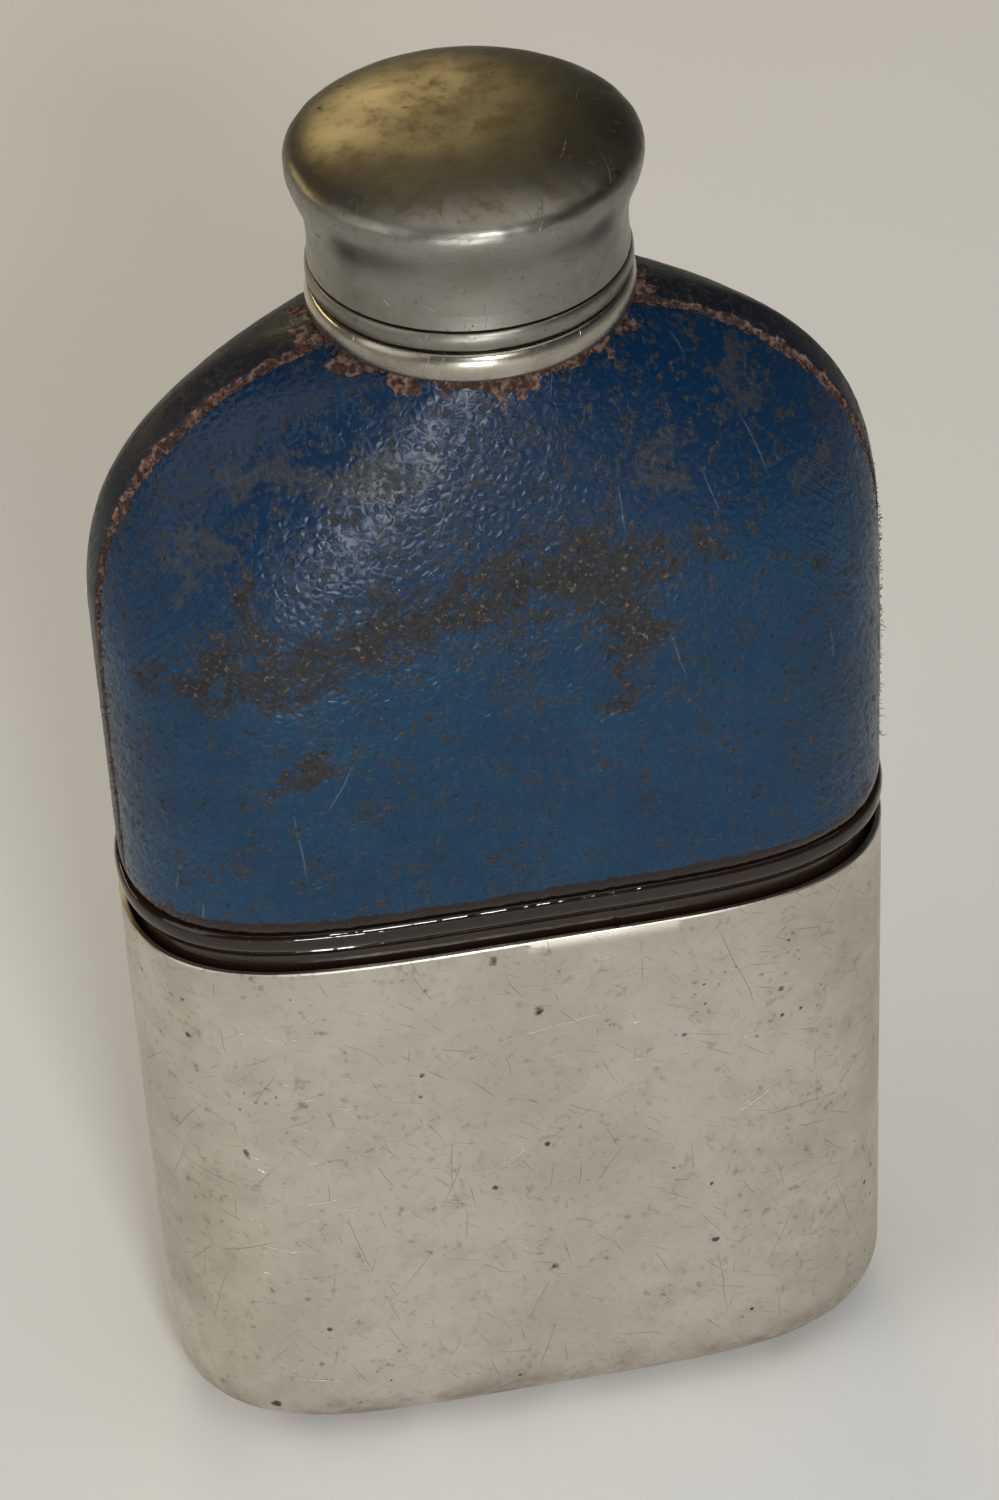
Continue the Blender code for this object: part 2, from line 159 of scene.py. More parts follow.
make_room()
make_floor()
area_lamp("key_lamp", (0.03, -0.87, 0.57), 0.16, 0.16, 4.0)
area_lamp("overhead_softbox", (0.1, -0.1, 1.3), 1.3, 1.3, 6.0, (1.0, 0.98, 0.95))
area_lamp("left_softbox", (-0.9, -0.35, 0.6), 0.7, 0.9, 2.6, (1.0, 0.97, 0.93))
area_lamp("shoulder_lamp", (-0.13, -1.0, 0.045), 0.24, 0.05, 2.6)
area_lamp("warm_strip", (-0.05, 0.75, 0.51), 0.34, 0.035, 0.9, (1.0, 0.78, 0.38))
area_lamp("warm_side", (-0.75, 0.55, 0.35), 0.5, 0.06, 0.8, (1.0, 0.75, 0.40))
bpy.context.scene.view_settings.view_transform = "Standard"

# %% [markdown]
# ## Surfaces as grids of points
#
# Every shape here is a skin over rows of points, like the hoops of a barrel. Working on the whole
# grid at once with numpy keeps the shapes exact and quick. Rows run up the outside, and points
# run anticlockwise, so that faces point outwards. Each skin also gets a UV map measured in metres,
# which lets scratches and grain keep their real size.

# %% Grid skins
def grid_mesh(name, grid, around=False, loop=False, sharp=40.0):
    """A smooth quad mesh over grid[row, column] = (x, y, z).

    around joins each row's ends, and loop runs the last row back into the first.
    """
    rows, columns, _ = grid.shape
    row = np.arange(rows if loop else rows - 1)[:, None]
    column = np.arange(columns if around else columns - 1)[None, :]
    row_next, column_next = row + 1, column + 1
    corners = [(row, column), (row, column_next), (row_next, column_next), (row_next, column)]
    faces = np.stack([(r % rows) * columns + (c % columns) for r, c in corners], axis=-1).reshape(-1, 4)

    mesh = bpy.data.meshes.new(name)
    mesh.vertices.add(rows * columns)
    mesh.vertices.foreach_set("co", grid.reshape(-1).astype(np.float32))
    mesh.loops.add(faces.size)
    mesh.loops.foreach_set("vertex_index", faces.reshape(-1).astype(np.int32))
    mesh.polygons.add(len(faces))
    mesh.polygons.foreach_set("loop_start", np.arange(0, faces.size, 4, dtype=np.int32))
    mesh.update()

    across, up = grid_lengths(grid, around, loop)
    skin = mesh.uv_layers.new(name="skin")
    uv = np.stack(
        [np.stack([across[c + 0 * r], up[r + 0 * c]], axis=-1) for r, c in corners], axis=2
    ).reshape(-1)
    skin.data.foreach_set("uv", uv.astype(np.float32))
    mesh.validate()
    mesh.shade_smooth()
    mesh.set_sharp_from_angle(angle=math.radians(sharp))
    return mesh


def grid_lengths(grid, around, loop):
    """Distance along the longest row, and along the column that starts it, for the UV map."""
    spans = np.linalg.norm(np.diff(grid, axis=1), axis=2)
    longest = int(np.argmax(spans.sum(axis=1)))
    line = grid[longest]
    if around:
        line = np.vstack([line, line[:1]])
    across = np.concatenate([[0.0], np.cumsum(np.linalg.norm(np.diff(line, axis=0), axis=1))])
    post = grid[:, 0]
    if loop:
        post = np.vstack([post, post[:1]])
    up = np.concatenate([[0.0], np.cumsum(np.linalg.norm(np.diff(post, axis=0), axis=1))])
    return across, up


def weld(mesh, distance=0.002 * MM):
    """Joins the points that meet at a pole, and drops the faces that vanish there."""
    bm = bmesh.new()
    bm.from_mesh(mesh)
    bmesh.ops.remove_doubles(bm, verts=bm.verts, dist=distance)
    bm.to_mesh(mesh)
    bm.free()


def outward(grid, around=False):
    """Unit normals of a grid skin, pointing outwards."""
    if around:
        along = np.roll(grid, -1, axis=1) - np.roll(grid, 1, axis=1)
    else:
        along = np.gradient(grid, axis=1)
    normal = np.cross(along, np.gradient(grid, axis=0))
    length = np.linalg.norm(normal, axis=2, keepdims=True)
    return normal / np.maximum(length, 1e-12)


def add_piece(name, mesh, body, made_of, replaced=()):
    """Puts a mesh in the scene as a piece that rides on a body and stands for CAD nodes."""
    piece = bpy.data.objects.new(name, mesh)
    mesh.materials.append(made_of)
    bpy.context.scene.collection.objects.link(piece)
    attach(piece, body)
    if replaced:
        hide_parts(*replaced)
    print(f"{name}: {len(mesh.polygons)} faces on {body}")
    return piece


# %% [markdown]
# Nothing hand-made is perfectly true. Fractal noise from Blender's own library gives soft dents,
# ripples and worn edges, and always the same ones, because it has no random state.

# %% Noise
def rough(grid, size, octaves=3, seed=0):
    """Fractal noise between about -1 and 1 at every point of a grid, with lumps about size across."""
    scale = 1.0 / size
    shift = Vector((3.1, 7.7, 5.3)) * seed
    flat = grid.reshape(-1, 3)
    values = [noise.fractal(Vector(p) * scale + shift, 1.0, 2.0, octaves) for p in flat]
    return np.array(values).reshape(grid.shape[:-1])


def smooth_step(value, low, high):
    part = np.clip((value - low) / (high - low), 0.0, 1.0)
    return part * part * (3 - 2 * part)


print("noise check:", round(float(rough(np.array([[[0.01, 0.02, 0.03]]]), 0.01)[0, 0]), 3))

# %% [markdown]
# The flask's plan is a super-ellipse: flatter than an ellipse at the narrow sides, and gently
# bowed at the front. The same curve, with the same driving sizes as the CAD model, shapes the cup,
# the glass and the leather, so that they nest.

# %% The flask's plan
POWER_X = 4.53
POWER_Y = 2.22
POWER_X_NECK = 2.0
POWER_Y_NECK = 1.4
NARROWING_START = 84.4 * MM

cup_low, cup_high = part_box("cup_shell")
CUP_HALF_WIDTH = cup_high.x
CUP_HALF_DEPTH = cup_high.y
CUP_HEIGHT = cup_high.z


def quarter_curve(half_width, half_depth, powers):
    angle = np.linspace(0.0, math.pi / 2, 600)
    x = half_width * np.abs(np.cos(angle)) ** (2 / powers[0])
    y = half_depth * np.abs(np.sin(angle)) ** (2 / powers[1])
    x[-1] = 0.0
    return np.column_stack([x, y])


def evenly_spaced(curve, count):
    """The curve as count + 1 points at equal distances along it."""
    steps = np.linalg.norm(np.diff(curve, axis=0), axis=1)
    along = np.concatenate([[0.0], np.cumsum(steps)])
    places = np.linspace(0.0, along[-1], count + 1)
    return np.column_stack([np.interp(places, along, curve[:, axis]) for axis in (0, 1)])


def plan_ring(half_width, half_depth, height, powers=(POWER_X, POWER_Y), count=240):
    """The plan at one height, anticlockwise from the middle of the back."""
    quarter = evenly_spaced(quarter_curve(half_width, half_depth, powers), count // 4)
    half = np.vstack([quarter, (quarter * (-1, 1))[-2::-1]])
    whole = np.vstack([half, (half * (1, -1))[-2:0:-1]])
    whole = np.roll(whole, -count // 4, axis=0)
    return np.column_stack([whole, np.full(count, height)])


def round_ring(radius, height, count=240):
    angle = np.linspace(0.0, 2 * math.pi, count, endpoint=False) + math.pi / 2
    return np.column_stack([radius * np.cos(angle), radius * np.sin(angle), np.full(count, height)])


def edge_arc(half_width, half_depth, bottom, radius, steps):
    """Rings round a rounded base edge, from its flat middle up to its straight side."""
    rings = []
    for angle in np.linspace(0.0, math.pi / 2, steps + 1):
        inset = radius * (1 - math.sin(angle))
        height = bottom + radius * (1 - math.cos(angle))
        rings.append(plan_ring(half_width - inset, half_depth - inset, height))
    return rings


print(f"cup plan {2 * CUP_HALF_WIDTH / MM:.1f} x {2 * CUP_HALF_DEPTH / MM:.1f} mm")

# %% [markdown]
# ## Finishes as node groups
#
# Age looks the same on every material: cloudy stains, pits, scratches and worn spots. Each is one
# node group with named inputs, built once and placed in each material with its own values. The
# groups only give masks and heights. The shader itself stays in each material.

# %% Node helpers
def feed(tree, socket, value):
    """Links the socket from another node's output, or sets it to a plain value or colour."""
    if isinstance(value, bpy.types.NodeSocket):
        tree.links.new(value, socket)
    elif isinstance(value, tuple) and len(value) == 3 and len(socket.default_value) == 4:
        socket.default_value = (*value, 1.0)
    else:
        socket.default_value = value


def node(tree, kind, inputs=None, **settings):
    """Adds a shader node. An input is given a value, or another node's output to link from."""
    made = tree.nodes.new("ShaderNode" + kind)
    for key, value in settings.items():
        setattr(made, key, value)
    for key, value in (inputs or {}).items():
        feed(tree, made.inputs[key], value)
    return made


def calc(tree, operation, *values):
    inputs = dict(enumerate(values))
    return node(tree, "Math", inputs, operation=operation).outputs[0]


def times(tree, *values):
    return calc(tree, "MULTIPLY", *values)


def plus(tree, *values):
    return calc(tree, "ADD", *values)


def minus(tree, *values):
    return calc(tree, "SUBTRACT", *values)


def flipped(tree, value):
    """A mask turned inside out."""
    return minus(tree, 1.0, value)


def vector_calc(tree, operation, *values):
    inputs = dict(enumerate(values))
    return node(tree, "VectorMath", inputs, operation=operation).outputs["Vector"]


def scaled(tree, vector, scale):
    return node(tree, "VectorMath", {0: vector, "Scale": scale}, operation="SCALE").outputs[0]


def step_mask(tree, value, low, high):
    """0 below low and 1 above high, with a smooth step between."""
    inputs = {"Value": value, "From Min": low, "From Max": high}
    return node(tree, "MapRange", inputs, interpolation_type="SMOOTHSTEP").outputs["Result"]


def blend_colour(tree, factor, first, second):
    made = node(tree, "Mix", data_type="RGBA")
    for socket, value in (("Factor", factor), (6, first), (7, second)):
        feed(tree, made.inputs[socket], value)
    return made.outputs[2]


def tint(tree, colour, mask, amount, paint):
    """The colour with some paint laid over it where the mask is."""
    return blend_colour(tree, times(tree, mask, amount), colour, paint)


def blend_value(tree, factor, first, second):
    return node(tree, "Mix", {"Factor": factor, 2: first, 3: second}, data_type="FLOAT").outputs[0]


def new_group(name, inputs, outputs):
    """An empty node group with named sockets. inputs maps a name to its type and default."""
    tree = bpy.data.node_groups.new(name, "ShaderNodeTree")
    for label, (kind, value) in inputs.items():
        socket = tree.interface.new_socket(label, in_out="INPUT", socket_type="NodeSocket" + kind)
        if value is not None:
            socket.default_value = value
    for label, kind in outputs.items():
        tree.interface.new_socket(label, in_out="OUTPUT", socket_type="NodeSocket" + kind)
    start = tree.nodes.new("NodeGroupInput").outputs
    end = tree.nodes.new("NodeGroupOutput").inputs
    return tree, start, end


def use(tree, group_tree, **inputs):
    """Places a node group in a material, with underscores in names standing for spaces."""
    made = tree.nodes.new("ShaderNodeGroup")
    made.node_tree = group_tree
    for key, value in inputs.items():
        feed(tree, made.inputs[key.replace("_", " ")], value)
    return made.outputs


# %% [markdown]
# A *cloud* is a soft-edged blotch from fractal noise: tarnish, stains, fading and rubbed patches
# are all clouds of different sizes and thresholds.

# %% Cloud group
def make_cloud():
    inputs = {
        "Position": ("Vector", None),
        "Size": ("Float", 0.01),
        "Detail": ("Float", 4.0),
        "Seed": ("Float", 0.0),
        "Low": ("Float", 0.45),
        "High": ("Float", 0.6),
    }
    tree, start, end = new_group("cloud", inputs, {"Mask": "Float", "Raw": "Float"})
    scale = calc(tree, "DIVIDE", 1.0, start["Size"])
    inputs = {"Vector": start["Position"], "W": start["Seed"], "Scale": scale, "Detail": start["Detail"]}
    field = node(tree, "TexNoise", {**inputs, "Roughness": 0.62}, noise_dimensions="4D")
    mask = step_mask(tree, field.outputs[0], start["Low"], start["High"])
    tree.links.new(mask, end["Mask"])
    tree.links.new(field.outputs[0], end["Raw"])
    return tree


cloud = make_cloud()
print("group:", cloud.name)

# %% [markdown]
# *Pits* are small round spots, one to a Voronoi cell. A cell's random colour decides whether it has
# a spot and how large it is, so the spots never form a regular pattern.

# %% Pits group
def make_pits():
    inputs = {
        "Position": ("Vector", None),
        "Spacing": ("Float", 0.002),
        "Amount": ("Float", 0.3),
        "Radius": ("Float", 0.3),
    }
    tree, start, end = new_group("pits", inputs, {"Mask": "Float"})
    scale = calc(tree, "DIVIDE", 1.0, start["Spacing"])
    ragged = node(tree, "TexNoise", {"Vector": start["Position"], "Scale": times(tree, scale, 3.0)})
    jitter = scaled(tree, vector_calc(tree, "SUBTRACT", ragged.outputs["Color"], (0.5, 0.5, 0.5)), 0.35)
    place = vector_calc(tree, "ADD", scaled(tree, start["Position"], scale), jitter)
    cells = node(tree, "TexVoronoi", {"Vector": place, "Scale": 1.0})
    chance = node(tree, "SeparateColor", {0: cells.outputs["Color"]}).outputs
    present = calc(tree, "LESS_THAN", chance[0], start["Amount"])
    radius = times(tree, start["Radius"], plus(tree, 0.35, chance[1]))
    inside = flipped(tree, step_mask(tree, cells.outputs["Distance"], times(tree, radius, 0.55), radius))
    tree.links.new(times(tree, present, inside), end["Mask"])
    return tree


pits = make_pits()
print("group:", pits.name)

# %% [markdown]
# *Scratches* are short straight lines, one to a cell of a flat Voronoi pattern on the UV map. Each
# cell turns its line to a random angle about a main direction, and gives it a random length.

# %% Scratches group
def make_scratches():
    inputs = {
        "Skin": ("Vector", None),
        "Cell": ("Float", 0.006),
        "Width": ("Float", 0.00006),
        "Amount": ("Float", 0.5),
        "Angle": ("Float", 0.0),
        "Spread": ("Float", 1.0),
        "Seed": ("Float", 0.0),
    }
    tree, start, end = new_group("scratches", inputs, {"Mask": "Float"})
    shift = node(tree, "CombineXYZ", {0: start["Seed"], 1: times(tree, start["Seed"], 1.7)}).outputs[0]
    bend = node(tree, "TexNoise", {"Vector": start["Skin"], "Scale": 220.0, "Detail": 1.0})
    wander = scaled(tree, vector_calc(tree, "SUBTRACT", bend.outputs["Color"], (0.5, 0.5, 0.5)), 0.0006)
    place = vector_calc(tree, "ADD", vector_calc(tree, "ADD", start["Skin"], shift), wander)
    scale = calc(tree, "DIVIDE", 1.0, start["Cell"])
    cells = node(tree, "TexVoronoi", {"Vector": place, "Scale": scale}, voronoi_dimensions="2D")
    offset = vector_calc(tree, "SUBTRACT", place, scaled(tree, cells.outputs["Position"], 1.0))
    chance = node(tree, "SeparateColor", {0: cells.outputs["Color"]}).outputs
    turn = times(tree, minus(tree, chance[0], 0.5), start["Spread"])
    angle = times(tree, plus(tree, turn, start["Angle"]), -1.0)
    local = node(tree, "VectorRotate", {"Vector": offset, "Angle": angle}, rotation_type="Z_AXIS").outputs[0]
    parts = node(tree, "SeparateXYZ", {0: local}).outputs
    reach = times(tree, start["Cell"], calc(tree, "MULTIPLY_ADD", chance[1], 0.5, 0.12))
    along = flipped(tree, step_mask(tree, calc(tree, "ABSOLUTE", parts[0]), times(tree, reach, 0.4), reach))
    off_line, core = calc(tree, "ABSOLUTE", parts[1]), times(tree, start["Width"], 0.3)
    across = flipped(tree, step_mask(tree, off_line, core, start["Width"]))
    present = calc(tree, "LESS_THAN", chance[2], start["Amount"])
    line = times(tree, times(tree, along, across), present)
    tree.links.new(line, end["Mask"])
    return tree


scratches = make_scratches()
print("group:", scratches.name)

# %% [markdown]
# *Pebble* is the grain of morocco leather: small rounded cells with fine creases between them. The
# cells are bent by a little noise and vary in height, as skin does.

# %% Pebble group
def make_pebble():
    inputs = {"Position": ("Vector", None), "Size": ("Float", 0.0005)}
    tree, start, end = new_group("pebble", inputs, {"Height": "Float", "Crease": "Float"})
    scale = calc(tree, "DIVIDE", 1.0, start["Size"])
    inputs = {"Vector": start["Position"], "Scale": times(tree, scale, 0.45), "Detail": 2.0}
    bend = node(tree, "TexNoise", inputs)
    jitter = scaled(tree, vector_calc(tree, "SUBTRACT", bend.outputs["Color"], (0.5, 0.5, 0.5)), 1.1)
    place = vector_calc(tree, "ADD", scaled(tree, start["Position"], scale), jitter)
    inputs = {"Vector": place, "Scale": 1.0, "Randomness": 0.9}
    cells = node(tree, "TexVoronoi", inputs, feature="DISTANCE_TO_EDGE")
    dome = step_mask(tree, cells.outputs["Distance"], 0.0, 0.42)
    crease = flipped(tree, step_mask(tree, cells.outputs["Distance"], 0.02, 0.16))
    swell = node(tree, "TexNoise", {"Vector": place, "Scale": 0.7, "Detail": 3.0})
    gain = plus(tree, swell.outputs[0], 0.2)
    height = calc(tree, "MULTIPLY_ADD", dome, gain, times(tree, swell.outputs[0], 0.4))
    tree.links.new(height, end["Height"])
    tree.links.new(crease, end["Crease"])
    return tree


pebble = make_pebble()
print("group:", pebble.name)


# %% Material helpers
def new_material(name):
    made = bpy.data.materials.new(name)
    made.use_nodes = True
    tree = made.node_tree
    return made, tree, tree.nodes["Principled BSDF"]


def place_of(tree):
    """The point on the surface in metres, which moves with the piece."""
    return node(tree, "TexCoord").outputs["Object"]


def skin_of(tree):
    return node(tree, "UVMap", uv_map="skin").outputs[0]


def blotches(tree, place, size, detail, seed, low, high):
    inputs = {"Position": place, "Size": size, "Detail": detail, "Seed": seed, "Low": low, "High": high}
    return use(tree, cloud, **inputs)["Mask"]


def spotted(tree, place, spacing, amount, radius):
    return use(tree, pits, Position=place, Spacing=spacing, Amount=amount, Radius=radius)["Mask"]


def scratched(tree, skin, cell, width, amount, angle, spread, seed):
    shape = {"Cell": cell, "Width": width, "Amount": amount, "Angle": angle, "Spread": spread}
    return use(tree, scratches, Skin=skin, Seed=seed, **shape)["Mask"]


def attribute(tree, name):
    return node(tree, "Attribute", attribute_name=name).outputs["Fac"]


def set_shader(tree, shader, **inputs):
    """Sets or links the shader's inputs, with underscores in names standing for spaces."""
    for key, value in inputs.items():
        feed(tree, shader.inputs[key.replace("_", " ")], value)


def bump(tree, height, depth, under=None):
    """A bump of the given depth in metres for heights from 0 to 1."""
    inputs = {"Height": height, "Distance": depth, "Strength": 1.0}
    if under is not None:
        inputs["Normal"] = under
    return node(tree, "Bump", inputs).outputs[0]


# %% [markdown]
# ## The cup
#
# The cup is silver plate over a soft base metal, pressed in one piece. Its flat faces carry fine
# scratches in every direction, clusters of dark pits where the plate has failed, and a brown
# bloom of tarnish along the bottom edge.

# %% Silver plate
SILVER = (0.64, 0.60, 0.52)
SILVER_DULL = (0.47, 0.43, 0.36)
TARNISH = (0.16, 0.12, 0.075)
PIT_BLACK = (0.03, 0.026, 0.022)


def silver_plate():
    made, tree, shader = new_material("silver_plate")
    place, skin = place_of(tree), skin_of(tree)
    broad = blotches(tree, place, 0.024, 5.0, 1.3, 0.40, 0.62)
    mottled = blotches(tree, place, 0.0045, 8.0, 4.1, 0.44, 0.66)
    speckled = blotches(tree, place, 0.0009, 5.0, 8.4, 0.54, 0.70)
    speckled = times(tree, speckled, calc(tree, "MULTIPLY_ADD", mottled, 0.7, 0.3))

    spots = spotted(tree, place, 0.0042, 0.16, 0.16)
    fine = spotted(tree, place, 0.0011, 0.5, 0.3)
    patch = blotches(tree, place, 0.009, 3.0, 2.2, 0.57, 0.66)
    pitted = calc(tree, "MAXIMUM", spots, times(tree, fine, patch))

    lines = None
    for cell, width, amount, angle, seed in (
        (0.0085, 0.00006, 0.50, 0.5, 0.11),
        (0.0046, 0.00005, 0.60, 2.1, 0.37),
        (0.0130, 0.00006, 0.45, 1.2, 0.73),
        (0.0027, 0.00004, 0.60, 0.0, 0.91),
        (0.0018, 0.00003, 0.50, 2.6, 0.53),
    ):
        drawn = scratched(tree, skin, cell, width, amount, angle, 1.6, seed)
        lines = drawn if lines is None else calc(tree, "MAXIMUM", lines, drawn)

    height = node(tree, "SeparateXYZ", {0: place}).outputs[2]
    foot = flipped(tree, step_mask(tree, height, 0.001, 0.011))
    bloom = blotches(tree, place, 0.006, 6.0, 6.6, 0.38, 0.62)
    stain = times(tree, foot, bloom)

    colour = blend_colour(tree, times(tree, broad, 0.75), SILVER, SILVER_DULL)
    colour = tint(tree, colour, mottled, 0.5, SILVER_DULL)
    colour = tint(tree, colour, speckled, 0.7, TARNISH)
    colour = tint(tree, colour, stain, 0.75, TARNISH)
    colour = tint(tree, colour, lines, 0.55, TARNISH)
    colour = tint(tree, colour, pitted, 0.85, PIT_BLACK)
    gloss = blend_value(tree, broad, 0.30, 0.40)
    gloss = plus(tree, gloss, times(tree, mottled, 0.06))
    gloss = plus(tree, gloss, times(tree, calc(tree, "MAXIMUM", stain, pitted), 0.3))
    sunk = calc(tree, "MAXIMUM", times(tree, lines, 0.5), pitted)
    surface = minus(tree, times(tree, mottled, 0.12), sunk)
    relief = bump(tree, surface, 0.03 * MM)
    set_shader(tree, shader, Base_Color=colour, Metallic=1.0, Roughness=gloss, Normal=relief)
    return made


# %% [markdown]
# The mesh has the real wall, 0.7 mm thick, and its sides are not quite flat: broad, shallow dents
# a few hundredths of a millimetre deep make the reflections wander as they do on old sheet metal.

# %% Cup mesh
CUP_WALL = 0.7 * MM
CUP_EDGE_RADIUS = 8.0 * MM
CUP_DENT = 0.05 * MM
RIM_ROUND = 0.15 * MM


def make_cup():
    outside = edge_arc(CUP_HALF_WIDTH, CUP_HALF_DEPTH, 0.0, CUP_EDGE_RADIUS, 14)
    for height in np.linspace(CUP_EDGE_RADIUS, CUP_HEIGHT - RIM_ROUND, 40)[1:]:
        outside.append(plan_ring(CUP_HALF_WIDTH, CUP_HALF_DEPTH, height))
    grid = np.array([plan_ring(0.0, 0.0, 0.0)] + outside)
    dent = rough(grid, 26 * MM, 2, seed=3) - 1.0
    flat = smooth_step(grid[..., 2], 0.0, 3 * MM)
    grid[2:] += (outward(grid, around=True) * (CUP_DENT * 0.5 * dent * flat)[..., None])[2:]

    inner_width, inner_depth = CUP_HALF_WIDTH - CUP_WALL, CUP_HALF_DEPTH - CUP_WALL
    rim = [
        plan_ring(CUP_HALF_WIDTH - RIM_ROUND, CUP_HALF_DEPTH - RIM_ROUND, CUP_HEIGHT),
        plan_ring(inner_width + RIM_ROUND, inner_depth + RIM_ROUND, CUP_HEIGHT),
    ]
    inside = [plan_ring(inner_width, inner_depth, h) for h in (CUP_HEIGHT - RIM_ROUND, CUP_HEIGHT / 2)]
    inside += edge_arc(inner_width, inner_depth, CUP_WALL, CUP_EDGE_RADIUS - CUP_WALL, 8)[::-1]
    inside.append(plan_ring(0.0, 0.0, CUP_WALL))
    whole = np.vstack([grid, np.array(rim), np.array(inside)])
    mesh = grid_mesh("drinking_cup", whole, around=True)
    weld(mesh)
    return add_piece("drinking_cup", mesh, "cup", silver_plate(), ["cup_shell"])


make_cup()

# %% [markdown]
# ## The glass bottle
#
# The bottle's glass is coloured almost black, as painted shade for the dark inside that shows
# through it. Where it shows between the cup and the cover it has a raised band with fine mould
# lines. Its lower half is only seen when the cup is pulled off.

# %% Dark glass
# Painted shade: the glass colour is near-black for the dark inside seen through the glass.
GLASS_SHADE_COLOUR = (0.022, 0.012, 0.007)


def dark_glass():
    made, tree, shader = new_material("dark_glass")
    place = place_of(tree)
    streaks = node(tree, "Mapping", {"Vector": place, "Scale": (1.0, 1.0, 0.12)}).outputs[0]
    cords = use(tree, cloud, Position=streaks, Size=0.004, Detail=2.0, Seed=3.0, Low=0.3, High=0.7)["Mask"]
    smears = blotches(tree, place, 0.011, 5.0, 5.5, 0.5, 0.7)
    dust = spotted(tree, place, 0.0016, 0.25, 0.13)
    gloss = calc(tree, "MULTIPLY_ADD", smears, 0.10, 0.05)
    gloss = calc(tree, "MULTIPLY_ADD", dust, 0.3, gloss)
    colour = blend_colour(tree, times(tree, dust, 0.7), GLASS_SHADE_COLOUR, (0.10, 0.08, 0.06))
    set_shader(tree, shader, Base_Color=colour, Roughness=gloss, Normal=bump(tree, cords, 0.06 * MM))
    set_shader(tree, shader, IOR=1.5, Metallic=0.0, Transmission_Weight=0.35)
    return made


# %% [markdown]
# The height of each ring and its distance in from the leather's outside come from the same curves
# as the cover, so glass and leather stay a steady distance apart over the shoulder.

# %% The covered shape
front_low, front_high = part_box("leather_front")
collar_low, collar_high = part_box("neck_collar")
COVER_HALF_WIDTH = front_high.x
COVER_HALF_DEPTH = -front_low.y
COVER_BOTTOM = front_low.z
COVER_TOP = 128.9 * MM
LEATHER = 1.0 * MM
SHOULDER_START = 98.9 * MM
SHOULDER_HEIGHT = 31.3 * MM
SHOULDER_POWER = 2.42
FACE_START = 90.0 * MM
FACE_HEIGHT = 62.6 * MM
FACE_POWER = 1.7


def super_arc(value, power):
    return (1 - np.maximum(value, 0.0) ** power) ** (1 / power)


def half_width(height, inset=0.0):
    part = (height - SHOULDER_START) / (SHOULDER_HEIGHT - inset)
    return (COVER_HALF_WIDTH - inset) * super_arc(part, SHOULDER_POWER)


def half_depth(height, inset=0.0):
    part = (height - FACE_START) / (FACE_HEIGHT - inset)
    return (COVER_HALF_DEPTH - inset) * super_arc(part, FACE_POWER)


def section_powers(height):
    share = smooth_step(height, NARROWING_START, COVER_TOP)
    return POWER_X + (POWER_X_NECK - POWER_X) * share, POWER_Y + (POWER_Y_NECK - POWER_Y) * share


def body_ring(height, inset):
    return plan_ring(half_width(height, inset), half_depth(height, inset), height, section_powers(height))


def shoulder_heights(end_width, inset, steps):
    """Heights over the shoulder, evenly round its curve, up to where it narrows to end_width."""
    last = math.acos((end_width / (COVER_HALF_WIDTH - inset)) ** (SHOULDER_POWER / 2))
    return [
        SHOULDER_START + (SHOULDER_HEIGHT - inset) * math.sin(last * i / steps) ** (2 / SHOULDER_POWER)
        for i in range(steps + 1)
    ]


print(f"cover {2 * COVER_HALF_WIDTH / MM:.1f} mm wide from {COVER_BOTTOM / MM:.1f} mm up")

# %% Glass mesh
GLASS_GAP = 0.3 * MM
GLASS_WALL = 2.4 * MM
GLASS_BASE = 4.0 * MM
CUP_CLEARANCE = 0.4 * MM
LEDGE_HALF_WIDTH = 38.05 * MM
LEDGE_HALF_DEPTH = 16.6 * MM
NECK_RADIUS = 9.8 * MM
BORE_RADIUS = 7.5 * MM
SLEEVE_BORE = 11.5 * MM
LIP_TOP = 141.0 * MM

# The moulded band, as (height, inset from the ledge's full size), both in millimetres.
BAND_PROFILE = [
    (66.55, 0.95), (66.85, 0.93), (67.15, 0.88), (67.40, 0.70), (67.60, 0.48), (67.85, 0.30),
    (68.10, 0.18), (68.18, 0.21), (68.28, 0.12), (68.60, 0.03), (68.95, 0.0), (69.30, 0.0),
    (69.60, 0.04), (69.85, 0.12), (70.05, 0.26), (70.18, 0.5),
]


